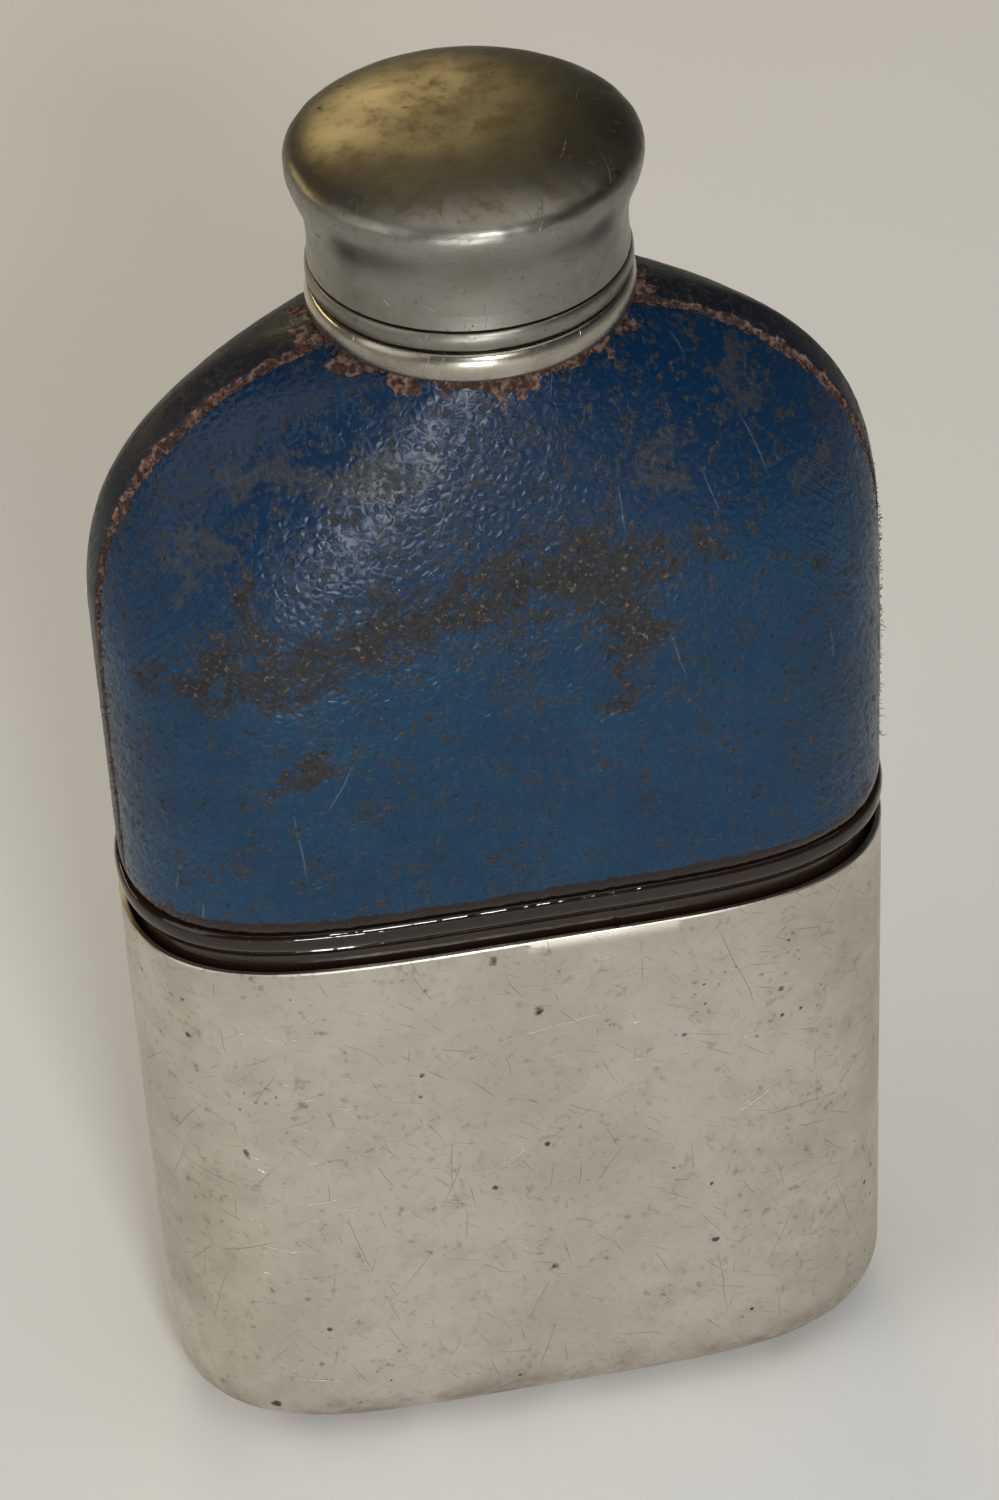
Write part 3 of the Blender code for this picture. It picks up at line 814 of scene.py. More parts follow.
def make_bottle():
    width = CUP_HALF_WIDTH - CUP_WALL - CUP_CLEARANCE
    depth = CUP_HALF_DEPTH - CUP_WALL - CUP_CLEARANCE
    bottom = CUP_WALL + GLASS_GAP
    rings = [plan_ring(0.0, 0.0, bottom)]
    rings += edge_arc(width, depth, bottom, CUP_EDGE_RADIUS - CUP_WALL - GLASS_GAP, 10)
    rings += [plan_ring(width, depth, z * MM) for z in (20.0, 32.0, 44.0, 56.0, 64.0, 66.2, 66.45)]
    for height, inset in BAND_PROFILE:
        rings.append(plan_ring(LEDGE_HALF_WIDTH - inset * MM, LEDGE_HALF_DEPTH - inset * MM, height * MM))
    inset = LEATHER + GLASS_GAP
    rings += [body_ring(z * MM, inset) for z in (70.3, 70.6, 75.0, 84.0, 90.0, 94.0)]
    rings += [body_ring(z, inset) for z in shoulder_heights(13.0 * MM, inset, 22)]
    for radius, height in (
        (NECK_RADIUS + 0.3 * MM, collar_low.z),
        (NECK_RADIUS, collar_low.z + 1.2 * MM),
        (NECK_RADIUS, LIP_TOP - 0.7 * MM),
        (NECK_RADIUS - 0.12 * MM, LIP_TOP - 0.3 * MM),
        (NECK_RADIUS - 0.5 * MM, LIP_TOP),
        (BORE_RADIUS + 0.5 * MM, LIP_TOP),
        (BORE_RADIUS + 0.1 * MM, LIP_TOP - 0.25 * MM),
        (BORE_RADIUS, LIP_TOP - 0.6 * MM),
    ):
        rings.append(round_ring(radius, height))
    inset += GLASS_WALL
    shoulder = shoulder_heights(15.0 * MM, inset, 12)
    rings.append(round_ring(BORE_RADIUS, shoulder[-1] + 3.0 * MM))
    rings.append(round_ring(BORE_RADIUS + 0.7 * MM, shoulder[-1] + 1.8 * MM))
    rings.append(round_ring(BORE_RADIUS + 1.9 * MM, shoulder[-1] + 0.8 * MM))
    rings += [body_ring(z, inset) for z in shoulder[::-1]]
    inner_edge = CUP_EDGE_RADIUS - GLASS_WALL
    inside = edge_arc(width - GLASS_WALL, depth - GLASS_WALL, bottom + GLASS_BASE, inner_edge, 6)
    rings += inside[::-1]
    rings.append(plan_ring(0.0, 0.0, bottom + GLASS_BASE))
    mesh = grid_mesh("flask_glass", np.array(rings), around=True)
    weld(mesh)
    return add_piece("flask_glass", mesh, "bottle", dark_glass(), ["glass_bottle"])


make_bottle()

# %% [markdown]
# ## The leather cover
#
# The cover is two panels of goatskin, glued to the glass and meeting in a raw seam down each side.
# A panel is one grid of points. Its edges roll under and close on the inner face, so there is no
# open border anywhere. The grid is closer spaced near the edges, where the shape turns quickly.

# %% The cover's surface
def cover_table(edge_y, facing):
    """Points of the cover from its middle to its side edge, at many heights."""
    heights = np.array([COVER_BOTTOM, *shoulder_heights(half_width(COVER_TOP), 0.0, 260)])
    heights = np.concatenate([np.linspace(COVER_BOTTOM, SHOULDER_START, 60)[:-1], heights[1:]])
    lines = []
    for height in heights:
        quarter = quarter_curve(half_width(height), half_depth(height), section_powers(height))[::-1]
        side = np.vstack([quarter, (quarter * (1, -1))[-2::-1]]) * (1, facing)
        edge_x = np.interp(abs(edge_y), quarter[::-1, 1], quarter[::-1, 0])
        wanted = side[:, 1] * facing > edge_y * facing
        stretch = np.vstack([side[wanted], (edge_x, edge_y)])
        lines.append(evenly_spaced(stretch, 200))
    return heights, np.array(lines)


def cover_points(table, height, part):
    """Points of the cover at a height, where part runs from -1 at the start edge to 1 at the end."""
    heights, lines = table
    row = np.clip(np.searchsorted(heights, height) - 1, 0, len(heights) - 2)
    up = np.clip((height - heights[row]) / (heights[row + 1] - heights[row]), 0.0, 1.0)[..., None]
    reach = np.clip(np.abs(part), 0.0, 1.0) * (lines.shape[1] - 1)
    column = np.minimum(reach.astype(int), lines.shape[1] - 2)
    over = (reach - column)[..., None]
    low = lines[row, column] * (1 - over) + lines[row, column + 1] * over
    high = lines[row + 1, column] * (1 - over) + lines[row + 1, column + 1] * over
    place = low * (1 - up) + high * up
    place = place * np.stack([np.sign(part), np.ones_like(part)], axis=-1)
    return np.concatenate([place, height[..., None]], axis=-1)


def spread(count, close, edge):
    """Values from 0 to 1 with count even steps, and eight closer ones within close of each edge."""
    even = np.linspace(close, 1 - close, count)
    fine = close * np.linspace(0.0, 1.0, edge + 1)[:-1] ** 1.6
    return np.concatenate([fine, even, 1 - fine[::-1]])


def panel_grid(edge_y, facing, columns, rows, ragged):
    """A panel's outer surface as a grid, from its lower edge to the neck."""
    table = cover_table(edge_y, facing)
    heights = table[0]
    across = spread(columns, 0.018, 8) * 2 - 1
    across = across if facing < 0 else -across
    up = spread(rows, 0.022, 8)[:, None]

    side_length = np.concatenate([[0.0], np.cumsum(np.hypot(np.diff(half_width(heights)), np.diff(heights)))])
    share = side_length[-1]
    fall = ragged * np.array([noise.noise(Vector((p * 55.0, 2.2, edge_y * 900))) for p in across])[None, :]
    foot = ragged * (1.0 + fall / max(ragged, 1e-9)) * 0.5
    height = np.interp(foot + (share - foot) * up, side_length, heights)
    wander = np.array([noise.noise(Vector((3.3 * facing, z * 420, 0.5))) for z in height[:, 0]])[:, None]
    part = across[None, :] * (1 - (0.5 + wander) * ragged / (60 * MM))
    return cover_points(table, height, part + 0 * height)


def edge_distance(grid):
    """Distance of every grid point from the sides, the foot and the neck."""
    step = np.linalg.norm(np.diff(grid, axis=1), axis=2)
    across = np.concatenate([np.zeros((grid.shape[0], 1)), np.cumsum(step, axis=1)], axis=1)
    rise = np.linalg.norm(np.diff(grid, axis=0), axis=2)
    up = np.concatenate([np.zeros((1, grid.shape[1])), np.cumsum(rise, axis=0)], axis=0)
    return np.minimum(across, across[:, -1:] - across), up, up[-1:] - up


def rolled(distance, radius):
    """How far round a rolled edge a point is: 1 at the edge itself, and 0 beyond the radius."""
    inside = np.clip(1 - distance / radius, 0.0, 1.0)
    return 1 - np.sqrt(1 - inside**2)


# %% [markdown]
# Wear is drawn on in strokes, as a restorer would map it. Each stroke is a line of points with a
# width at each. The grid stores how deep inside a stroke each point lies, and the material breaks
# that soft shape up into ragged patches and specks.

# %% Wear map
def stroke_field(x, z, strokes):
    """1 along the middle of each stroke, falling to 0 at its width. All sizes in millimetres."""
    field = np.zeros_like(x)
    for stroke in strokes:
        ends = stroke if len(stroke) > 1 else stroke * 2
        for (ax, az, aw), (bx, bz, bw) in zip(ends, ends[1:]):
            length = max((bx - ax) ** 2 + (bz - az) ** 2, 1e-6)
            along = np.clip(((x - ax) * (bx - ax) + (z - az) * (bz - az)) / length, 0.0, 1.0)
            away = np.hypot(x - ax - along * (bx - ax), z - az - along * (bz - az))
            field = np.maximum(field, 1 - away / (aw + along * (bw - aw)))
    return field


def warped(grid, size, amount, seed):
    """The grid's x and z in millimetres, pushed about by noise so that drawn shapes turn ragged."""
    x = grid[..., 0] / MM + amount * rough(grid, size, 3, seed)
    z = grid[..., 2] / MM + amount * rough(grid, size, 3, seed + 1)
    return x, z


WORN_STROKES = [
    [(-30.5, 99.3, 3.9), (-26.0, 100.4, 4.7), (-20.3, 101.8, 5.5), (-14.0, 104.0, 5.7), (-9.0, 105.5, 5.5)],
    [(-9.0, 105.5, 5.5), (-3.5, 105.7, 6.0), (4.0, 107.6, 7.0), (11.4, 107.3, 5.7)],
    [(8.0, 105.5, 3.1), (10.4, 101.2, 2.5), (10.2, 95.7, 2.1), (8.0, 92.5, 1.3)],
    [(-24.5, 110.5, 1.5), (-24.5, 107.0, 1.8), (-24.0, 103.6, 2.0)],
    [(-21.4, 88.2, 1.6), (-18.0, 91.2, 1.7)],
    [(-18.1, 93.3, 1.1)],
    [(17.1, 107.2, 1.8)],
    [(30.0, 103.0, 1.3)],
    [(6.5, 113.1, 1.1)],
    [(-7.3, 86.0, 0.8)],
    [(-4.0, 75.6, 0.7)],
    [(19.5, 85.3, 0.9)],
    [(-14.5, 115.9, 0.9)],
]
TAN_STROKES = [
    [(-24.0, 118.7, 2.0), (-16.0, 119.7, 2.6), (-8.5, 119.5, 2.0)],
    [(22.4, 120.9, 3.6)],
    [(-30.0, 109.2, 2.4), (-27.0, 112.9, 2.0)],
    [(-13.0, 113.4, 1.4), (-11.5, 116.1, 1.0)],
    [(14.0, 118.4, 1.6), (17.0, 114.7, 1.6)],
    [(29.0, 111.1, 2.0)],
]
BACK_STROKES = [
    [(-8.0, 88.0, 1.2), (2.0, 91.0, 1.8), (9.0, 90.0, 1.0)],
    [(20.0, 104.0, 1.6)],
    [(-22.0, 112.0, 1.4), (-19.0, 116.0, 1.2)],
    [(4.0, 119.0, 1.3)],
    [(27.0, 80.0, 0.9)],
    [(-28.0, 96.0, 1.1)],
]
print(len(WORN_STROKES) + len(BACK_STROKES), "worn places,", len(TAN_STROKES), "rubbed places")

# %% Leather panel mesh
PANEL_THICKNESS = 0.78 * MM
PANEL_SINK = 0.10 * MM
SIDE_ROLL = 0.85 * MM
FOOT_ROLL = 1.15 * MM
NECK_ROLL = 0.6 * MM


def panel_mesh(name, edge_y, facing, worn, tan, columns, rows, ragged):
    base = panel_grid(edge_y, facing, columns, rows, ragged)
    normal = outward(base)
    side, foot, neck = edge_distance(base)
    roll = np.maximum(rolled(side, SIDE_ROLL), np.maximum(rolled(foot, FOOT_ROLL), rolled(neck, NECK_ROLL)))

    x, z = warped(base, 4 * MM, 2.6, seed=2)
    wear = stroke_field(x, z, worn)
    tanned = stroke_field(x, z, tan)
    frayed = rough(base, 1.6 * MM, 4, seed=6)
    blobs = rough(base, 2.6 * MM, 3, seed=16)
    # the torn leather is wider round the neck, and along the tops of the shoulders
    side_reach = (0.5 + 0.45 * smooth_step(base[..., 2], 95 * MM, 120 * MM)) * MM
    raw = np.maximum(
        1 - (side + 0.45 * MM * frayed) / side_reach,
        1 - (neck + 1.2 * MM * frayed + 2.4 * MM * blobs) / (2.6 * MM),
    )
    raw = smooth_step(raw, 0.0, 0.45)
    burnished = 1 - smooth_step(foot + 0.25 * MM * frayed, 0.9 * MM, 1.7 * MM)

    fade = smooth_step(np.minimum(np.minimum(side, foot), neck), 0.0, 0.3 * MM)
    lumps = 0.05 * rough(base, 9 * MM, 3, seed=9) + 0.03 * rough(base, 1.3 * MM, 2, seed=4) - 0.09
    torn = 0.16 * rough(base, 0.75 * MM, 3, seed=12) - 0.10
    hollow = -0.10 * smooth_step(wear, 0.0, 0.6) * (0.6 + 0.8 * rough(base, 1.8 * MM, 3, seed=14))
    shift = (lumps + hollow + torn * smooth_step(raw, 0.1, 0.8)) * fade * MM
    outer = base + normal * (shift - PANEL_SINK - roll * PANEL_THICKNESS / 2)[..., None]
    inner = base + normal * (roll * PANEL_THICKNESS / 2 - PANEL_SINK - PANEL_THICKNESS)[..., None]

    mesh = grid_mesh(name, np.vstack([outer, inner[::-1]]), loop=True, sharp=75.0)
    for label, field in (("wear", wear), ("tan", tanned), ("raw", raw), ("foot", burnished)):
        both = np.vstack([field, np.maximum(field, 1.0 if label == "raw" else 0.0)[::-1]])
        stored = mesh.attributes.new(label, "FLOAT", "POINT")
        stored.data.foreach_set("value", both.reshape(-1).astype(np.float32))
    weld(mesh, 0.004 * MM)
    return mesh, outer, normal, side, neck


# %% [markdown]
# *Creases* are the fine slanting wrinkles where the skin was pulled round the sides. They are noise
# stretched along one direction of the UV map, so they run as broken, nearly parallel lines.

# %% Creases group
def make_creases():
    inputs = {"Skin": ("Vector", None), "Spacing": ("Float", 0.0006), "Angle": ("Float", 0.9)}
    tree, start, end = new_group("creases", inputs, {"Height": "Float"})
    inputs = {"Vector": start["Skin"], "Angle": start["Angle"]}
    slanted = node(tree, "VectorRotate", inputs, rotation_type="Z_AXIS").outputs[0]
    scale = calc(tree, "DIVIDE", 1.0, start["Spacing"])
    stretched = vector_calc(tree, "MULTIPLY", scaled(tree, slanted, scale), (0.16, 1.0, 1.0))
    inputs = {"Vector": stretched, "Scale": 0.75, "Detail": 2.0, "Distortion": 0.5}
    field = node(tree, "TexNoise", inputs).outputs[0]
    ridge = flipped(tree, times(tree, calc(tree, "ABSOLUTE", minus(tree, field, 0.5)), 6.0))
    tree.links.new(calc(tree, "MAXIMUM", ridge, 0.0), end["Height"])
    return tree


creases = make_creases()
print("group:", creases.name)

# %% [markdown]
# The leather's dye has faded unevenly and rubbed through to brown-black in the worn patches, with
# beige flecks where the surface is gone altogether. Painted shade darkens the shoulder and the
# grain's creases, and darkens the whole back panel together with handling dirt. The cut edges are
# raw, red-brown and pink. Grain is bump, because each grain is only half a millimetre across.

# %% Leather material
BLUE = (0.0045, 0.043, 0.092)
# The deep blue is the dye's darker tone. It also stands in as painted shade on the shoulder and in the
# grain's creases.
BLUE_DEEP_AND_SHADE = (0.0015, 0.018, 0.050)
WORN_BROWN = (0.022, 0.019, 0.016)
WORN_BLACK = (0.008, 0.007, 0.007)
FLECK_BEIGE = (0.15, 0.12, 0.088)
SPECK_GREEN = (0.010, 0.015, 0.014)
TAN_GREEN = (0.060, 0.055, 0.034)
RAW_RED = (0.060, 0.029, 0.022)
RAW_PINK = (0.19, 0.118, 0.09)
RAW_DARK = (0.035, 0.018, 0.014)
FOOT_BLACK = (0.016, 0.010, 0.008)
# The back panel's navy is the blue darkened by handling dirt and by painted shade.
BACK_DIRT_AND_SHADE = (0.010, 0.016, 0.034)
BACK_DEEP_DIRT_AND_SHADE = (0.005, 0.007, 0.014)


def leather(name, dye, deep_tone_and_shade, grain, grain_depth, gloss, sheen):
    made, tree, shader = new_material(name)
    place, skin = place_of(tree), skin_of(tree)
    wear, raw = attribute(tree, "wear"), attribute(tree, "raw")
    tan, foot = attribute(tree, "tan"), attribute(tree, "foot")
    parts = node(tree, "SeparateXYZ", {0: place}).outputs

    faded = blotches(tree, place, 0.017, 4.0, 2.5, 0.36, 0.66)
    blotch = blotches(tree, place, 0.0042, 6.0, 7.1, 0.3, 0.7)
    ragged = use(tree, cloud, Position=place, Size=0.0022, Detail=7.0, Seed=1.1)["Raw"]
    crumbs = use(tree, cloud, Position=place, Size=0.00065, Detail=3.0, Seed=9.2)["Raw"]
    flecks = blotches(tree, place, 0.0005, 2.0, 5.2, 0.56, 0.66)

    ragged_offset = times(tree, minus(tree, ragged, 0.5), 2.6)
    crumb_offset = times(tree, minus(tree, crumbs, 0.5), 3.2)
    depth = plus(tree, plus(tree, wear, ragged_offset), crumb_offset)
    worn = step_mask(tree, depth, 0.10, 0.85)
    bare = step_mask(tree, depth, 0.75, 1.35)
    speck_patch = blotches(tree, place, 0.014, 3.0, 3.7, 0.42, 0.62)
    speck_patch = calc(tree, "MAXIMUM", speck_patch, step_mask(tree, wear, -2.6, 0.3))
    specks = spotted(tree, place, 0.0010, 0.5, 0.34)
    clusters = blotches(tree, place, 0.0032, 6.0, 8.8, 0.54, 0.70)
    clusters = times(tree, clusters, step_mask(tree, crumbs, 0.44, 0.58))
    specks = times(tree, calc(tree, "MAXIMUM", specks, clusters), speck_patch)
    specks = times(tree, specks, 0.8)
    tan_field = plus(tree, tan, crumb_offset)
    tanned = times(tree, step_mask(tree, plus(tree, tan_field, ragged_offset), 0.1, 0.9), 0.4)

    marks = scratched(tree, skin, 0.009, 0.00011, 0.22, 1.3, 1.1, 0.21)
    grained = use(tree, pebble, Position=place, Size=grain)

    # Painted shade: above the shoulder line the colour blends to the deep tone, for the shade on the
    # upward-facing shoulder. Lower down the lighter dye shows, in random faded clouds.
    below_shoulder_shade = step_mask(tree, parts[2], 0.122, 0.096)
    pale = times(tree, below_shoulder_shade, calc(tree, "MULTIPLY_ADD", faded, 0.5, 0.5))
    colour = blend_colour(tree, pale, deep_tone_and_shade, dye)
    colour = tint(tree, colour, blotch, 0.35, deep_tone_and_shade)
    # Painted shade: the grain's creases are darkened towards the deep tone.
    colour = blend_colour(tree, times(tree, grained["Crease"], 0.35), colour, deep_tone_and_shade)
    colour = tint(tree, colour, marks, 0.30, (0.20, 0.22, 0.25))
    colour = blend_colour(tree, tanned, colour, TAN_GREEN)
    colour = blend_colour(tree, specks, colour, SPECK_GREEN)
    patch = blend_colour(tree, step_mask(tree, crumbs, 0.40, 0.62), WORN_BLACK, WORN_BROWN)
    beige = times(tree, flecks, calc(tree, "MULTIPLY_ADD", bare, 0.6, 0.3))
    patch = blend_colour(tree, beige, patch, FLECK_BEIGE)
    colour = tint(tree, colour, worn, 0.92, patch)

    torn = step_mask(tree, plus(tree, raw, times(tree, crumb_offset, 0.5)), 0.25, 0.6)
    tufted = blend_value(tree, 0.5, ragged, crumbs)
    fibre = blend_colour(tree, step_mask(tree, tufted, 0.46, 0.58), RAW_RED, RAW_PINK)
    fibre = blend_colour(tree, step_mask(tree, crumbs, 0.52, 0.40), fibre, RAW_DARK)
    colour = blend_colour(tree, torn, colour, fibre)
    burnt = step_mask(tree, plus(tree, foot, times(tree, crumb_offset, 0.35)), 0.35, 0.65)
    colour = blend_colour(tree, burnt, colour, FOOT_BLACK)

    smooth = flipped(tree, calc(tree, "MAXIMUM", worn, calc(tree, "MAXIMUM", torn, 0.0)))
    shine = plus(tree, gloss, times(tree, blotch, 0.08))
    shine = blend_value(tree, worn, shine, 0.58)
    shine = blend_value(tree, specks, shine, 0.6)
    shine = blend_value(tree, torn, shine, 0.95)
    shine = blend_value(tree, burnt, shine, 0.16)

    side_on = calc(tree, "ABSOLUTE", parts[0])
    strip = times(tree, step_mask(tree, side_on, 0.024, 0.031), step_mask(tree, parts[2], 0.118, 0.106))
    slant = times(tree, calc(tree, "SIGN", parts[0]), 0.9)
    wrinkle = use(tree, creases, Skin=skin, Spacing=0.0007, Angle=slant)["Height"]
    wrinkle = times(tree, wrinkle, strip)
    wrinkled = bump(tree, wrinkle, -0.09 * MM)
    unburnt = flipped(tree, burnt)
    grain_share = times(tree, unburnt, calc(tree, "MULTIPLY_ADD", smooth, 0.75, 0.25))
    grain_height = times(tree, grained["Height"], grain_share)
    grain_bump = bump(tree, grain_height, grain_depth, wrinkled)
    rubbed = times(tree, calc(tree, "MAXIMUM", worn, torn), times(tree, crumbs, unburnt))
    surface = bump(tree, minus(tree, rubbed, specks), 0.10 * MM, grain_bump)
    set_shader(tree, shader, Base_Color=colour, Roughness=shine, Normal=surface)
    set_shader(tree, shader, IOR=1.34, Coat_Weight=times(tree, smooth, sheen))
    set_shader(tree, shader, Coat_Roughness=0.3)
    return made


FRONT_EDGE_Y = front_high.y
BACK_EDGE_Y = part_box("leather_back")[0].y

front_mesh, front_outer, front_normal, front_side, front_neck = panel_mesh(
    "front_leather", FRONT_EDGE_Y, -1, WORN_STROKES, TAN_STROKES, 250, 230, 0.30 * MM
)
add_piece(
    "front_leather",
    front_mesh,
    "bottle",
    leather("blue_leather", BLUE, BLUE_DEEP_AND_SHADE, 0.0010, 0.06 * MM, 0.24, 0.03),
    ["leather_front"],
)
# Painted shade: the back panel is coloured a darker navy than the front, for handling dirt and for the shade
# it lies in.
back_mesh = panel_mesh(
    "back_leather", BACK_EDGE_Y, 1, BACK_STROKES, [], 220, 200, 0.12 * MM
)[0]
add_piece(
    "back_leather",
    back_mesh,
    "bottle",
    leather("navy_leather", BACK_DIRT_AND_SHADE, BACK_DEEP_DIRT_AND_SHADE, 0.00042, 0.03 * MM, 0.38, 0.15),
    ["leather_back"],
)

# %% [markdown]
# ## Raw leather fibres
#
# Up close, a torn leather edge is a fringe of short, stiff fibres. Each one here is a tiny closed
# spike, bent once, that stands on the panel where the edge is raw. They break up the outline of the
# seam and of the tear round the neck.

# %% Fibre mesh
FIBRE_COUNT = 2600
FIBRE_LENGTH = (0.35 * MM, 1.0 * MM)
FIBRE_WIDTH = 0.07 * MM
FIBRE_REACH = 0.75 * MM


def spikes_mesh(name, roots, ways, lengths, widths, rng):
    """Three-sided closed spikes with one bend. Every spike is its own small closed shape."""
    count = len(roots)
    side = np.cross(ways, rng.normal(size=(count, 3)))
    side /= np.linalg.norm(side, axis=1, keepdims=True)
    other = np.cross(ways, side)
    bent = ways + 0.5 * rng.normal(size=(count, 3))
    bent /= np.linalg.norm(bent, axis=1, keepdims=True)
    middle = roots + ways * lengths[:, None] * 0.5
    points = []
    for base, scale in ((roots - ways * 0.1 * MM, 1.0), (middle, 0.7)):
        for turn in (0.0, 2 * math.pi / 3, 4 * math.pi / 3):
            points.append(base + (side * math.cos(turn) + other * math.sin(turn)) * (widths * scale)[:, None])
    points.append(middle + bent * lengths[:, None] * 0.5)
    points = np.stack(points, axis=1)
    shape = [
        (2, 1, 0), (0, 1, 4), (0, 4, 3), (1, 2, 5), (1, 5, 4),
        (2, 0, 3), (2, 3, 5), (3, 4, 6), (4, 5, 6), (5, 3, 6),
    ]
    faces = (np.arange(count)[:, None, None] * 7 + np.array(shape)[None]).reshape(-1, 3)
    mesh = bpy.data.meshes.new(name)
    mesh.from_pydata(points.reshape(-1, 3).tolist(), [], faces.tolist())
    mesh.shade_smooth()
    return mesh


def make_fibres():
    rng = np.random.default_rng(11)
    flat = front_outer.reshape(-1, 3)
    facing = front_normal.reshape(-1, 3)
    side, neck = front_side.reshape(-1), front_neck.reshape(-1)
    at_side = np.flatnonzero((side < FIBRE_REACH) & (flat[:, 2] > 74 * MM))
    at_neck = np.flatnonzero(neck < 2 * FIBRE_REACH)
    chosen = np.concatenate([
        rng.choice(at_side, int(FIBRE_COUNT * 0.6)),
        rng.choice(at_neck, int(FIBRE_COUNT * 0.4)),
    ])
    roots = flat[chosen] + rng.normal(scale=0.12 * MM, size=(FIBRE_COUNT, 3))
    ways = facing[chosen] * 0.55 + rng.normal(scale=0.6, size=(FIBRE_COUNT, 3))
    ways += facing[chosen] * np.maximum(0.25 - (ways * facing[chosen]).sum(axis=1), 0.0)[:, None]
    ways /= np.linalg.norm(ways, axis=1, keepdims=True)
    lengths = rng.uniform(*FIBRE_LENGTH, FIBRE_COUNT) * rng.uniform(0.4, 1.0, FIBRE_COUNT)
    widths = rng.uniform(0.5, 1.0, FIBRE_COUNT) * FIBRE_WIDTH
    return spikes_mesh("leather_fibres", roots, ways, lengths, widths, rng)


def fibre_material():
    made, tree, shader = new_material("raw_fibre")
    place = place_of(tree)
    tone = blotches(tree, place, 0.0016, 4.0, 2.0, 0.42, 0.6)
    dark = blotches(tree, place, 0.0009, 3.0, 6.0, 0.5, 0.62)
    colour = blend_colour(tree, tone, RAW_RED, RAW_PINK)
    colour = tint(tree, colour, dark, 0.8, RAW_DARK)
    set_shader(tree, shader, Base_Color=colour, Roughness=0.95)
    return made


add_piece("leather_fibres", make_fibres(), "bottle", fibre_material())

# %% [markdown]
# ## Pewter
#
# The neck mount and the cap are pewter, turned on a lathe. One recipe gives them all: a brushed
# grain that runs round the piece, a mottled tarnish, pits and scratches. Each part has its own
# colour, polish and amount of tarnish. The top of the dome is painted a darker brown as shade, and
# the neck ring is rubbed bright.

# %% Turned metal group
def make_turned():
    """Fine lathe marks: noise squeezed along the axis, so that its features are rings."""
    inputs = {"Position": ("Vector", None), "Spacing": ("Float", 0.0002)}
    tree, start, end = new_group("turned", inputs, {"Height": "Float"})
    scale = calc(tree, "DIVIDE", 1.0, start["Spacing"])
    squeezed = vector_calc(tree, "MULTIPLY", scaled(tree, start["Position"], scale), (0.03, 0.03, 1.0))
    inputs = {"Vector": squeezed, "Scale": 1.0, "Detail": 3.0, "Roughness": 0.7}
    field = node(tree, "TexNoise", inputs).outputs[0]
    tree.links.new(field, end["Height"])
    return tree


turned = make_turned()


def pewter(name, bright, dull, gloss, tarnish, lathe, dents=0.0, shaded_top=None):
    made, tree, shader = new_material(name)
    place, skin = place_of(tree), skin_of(tree)
    broad = blotches(tree, place, 0.0095, 5.0, 3.3, 0.38, 0.66)
    mottled = blotches(tree, place, 0.0021, 6.0, 5.7, 0.44, 0.66)
    freckles = blotches(tree, place, 0.0007, 4.0, 1.9, 0.57, 0.70)
    spots = spotted(tree, place, 0.0024, 0.2, 0.16)
    long_lines = scratched(tree, skin, 0.0052, 0.00006, 0.5, 0.4, 2.6, 0.5)
    short_lines = scratched(tree, skin, 0.0021, 0.00004, 0.5, 1.7, 3.0, 0.8)
    lines = calc(tree, "MAXIMUM", long_lines, short_lines)
    lathe_marks = use(tree, turned, Position=place, Spacing=0.00022)["Height"]

    colour = blend_colour(tree, times(tree, broad, tarnish), bright, dull)
    colour = tint(tree, colour, mottled, tarnish * 0.6, dull)
    colour = tint(tree, colour, freckles, tarnish * 0.8, (0.05, 0.042, 0.03))
    # Painted shade: above a given height the colour blends to a dark brown, mottled by the tarnish.
    if shaded_top:
        low, high, brown = shaded_top
        rise = step_mask(tree, node(tree, "SeparateXYZ", {0: place}).outputs[2], low, high)
        share = times(tree, rise, calc(tree, "MULTIPLY_ADD", mottled, 0.35, 0.62))
        colour = blend_colour(tree, share, colour, brown)
    colour = tint(tree, colour, lines, 0.25, bright)
    colour = tint(tree, colour, spots, 0.8, PIT_BLACK)
    shine = plus(tree, gloss, times(tree, broad, 0.07))
    shine = plus(tree, shine, times(tree, mottled, 0.07))
    shine = plus(tree, shine, times(tree, calc(tree, "MAXIMUM", freckles, spots), 0.2))
    grain = bump(tree, lathe_marks, lathe)
    waves = use(tree, cloud, Position=place, Size=0.006, Detail=2.0, Seed=4.4)["Raw"]
    wavy = bump(tree, waves, dents, grain)
    sunk = times(tree, calc(tree, "MAXIMUM", lines, spots), -1.0)
    relief = bump(tree, sunk, 0.02 * MM, wavy)
    set_shader(tree, shader, Base_Color=colour, Metallic=1.0, Roughness=shine, Normal=relief)
    return made


PEWTER_BRIGHT = (0.50, 0.47, 0.39)
PEWTER = (0.36, 0.345, 0.30)
PEWTER_DULL = (0.19, 0.175, 0.135)
CAP_GREY = (0.27, 0.26, 0.235)
# The dark brown painted on the top of the cap's dome as shade.
DOME_SHADE_BROWN = (0.115, 0.098, 0.058)


# %% [markdown]
# A turned part is a profile, a list of distances from the axis and heights, swept round Z. The
# profile runs up the outside and down the inside, and the last ring joins the first.

# %% Turned shapes
def turned_grid(profile, count=180):
    return np.array([round_ring(radius, height, count) for radius, height in profile])


def bead_profile(outer, bulge, bottom, top, inner, steps=20):
    """A ring flat inside and rounded outside, from its inner lower edge round to its inner upper edge."""
    soft = 0.12 * MM
    middle, rise = (bottom + top) / 2, (top - bottom) / 2
    points = [(inner, bottom + soft), (inner + soft, bottom)]
    for angle in np.linspace(-math.pi / 2, math.pi / 2, steps + 1):
        points.append((outer - bulge + bulge * math.cos(angle), middle + rise * math.sin(angle)))
    points += [(inner + soft, top), (inner, top - soft)]
    return points


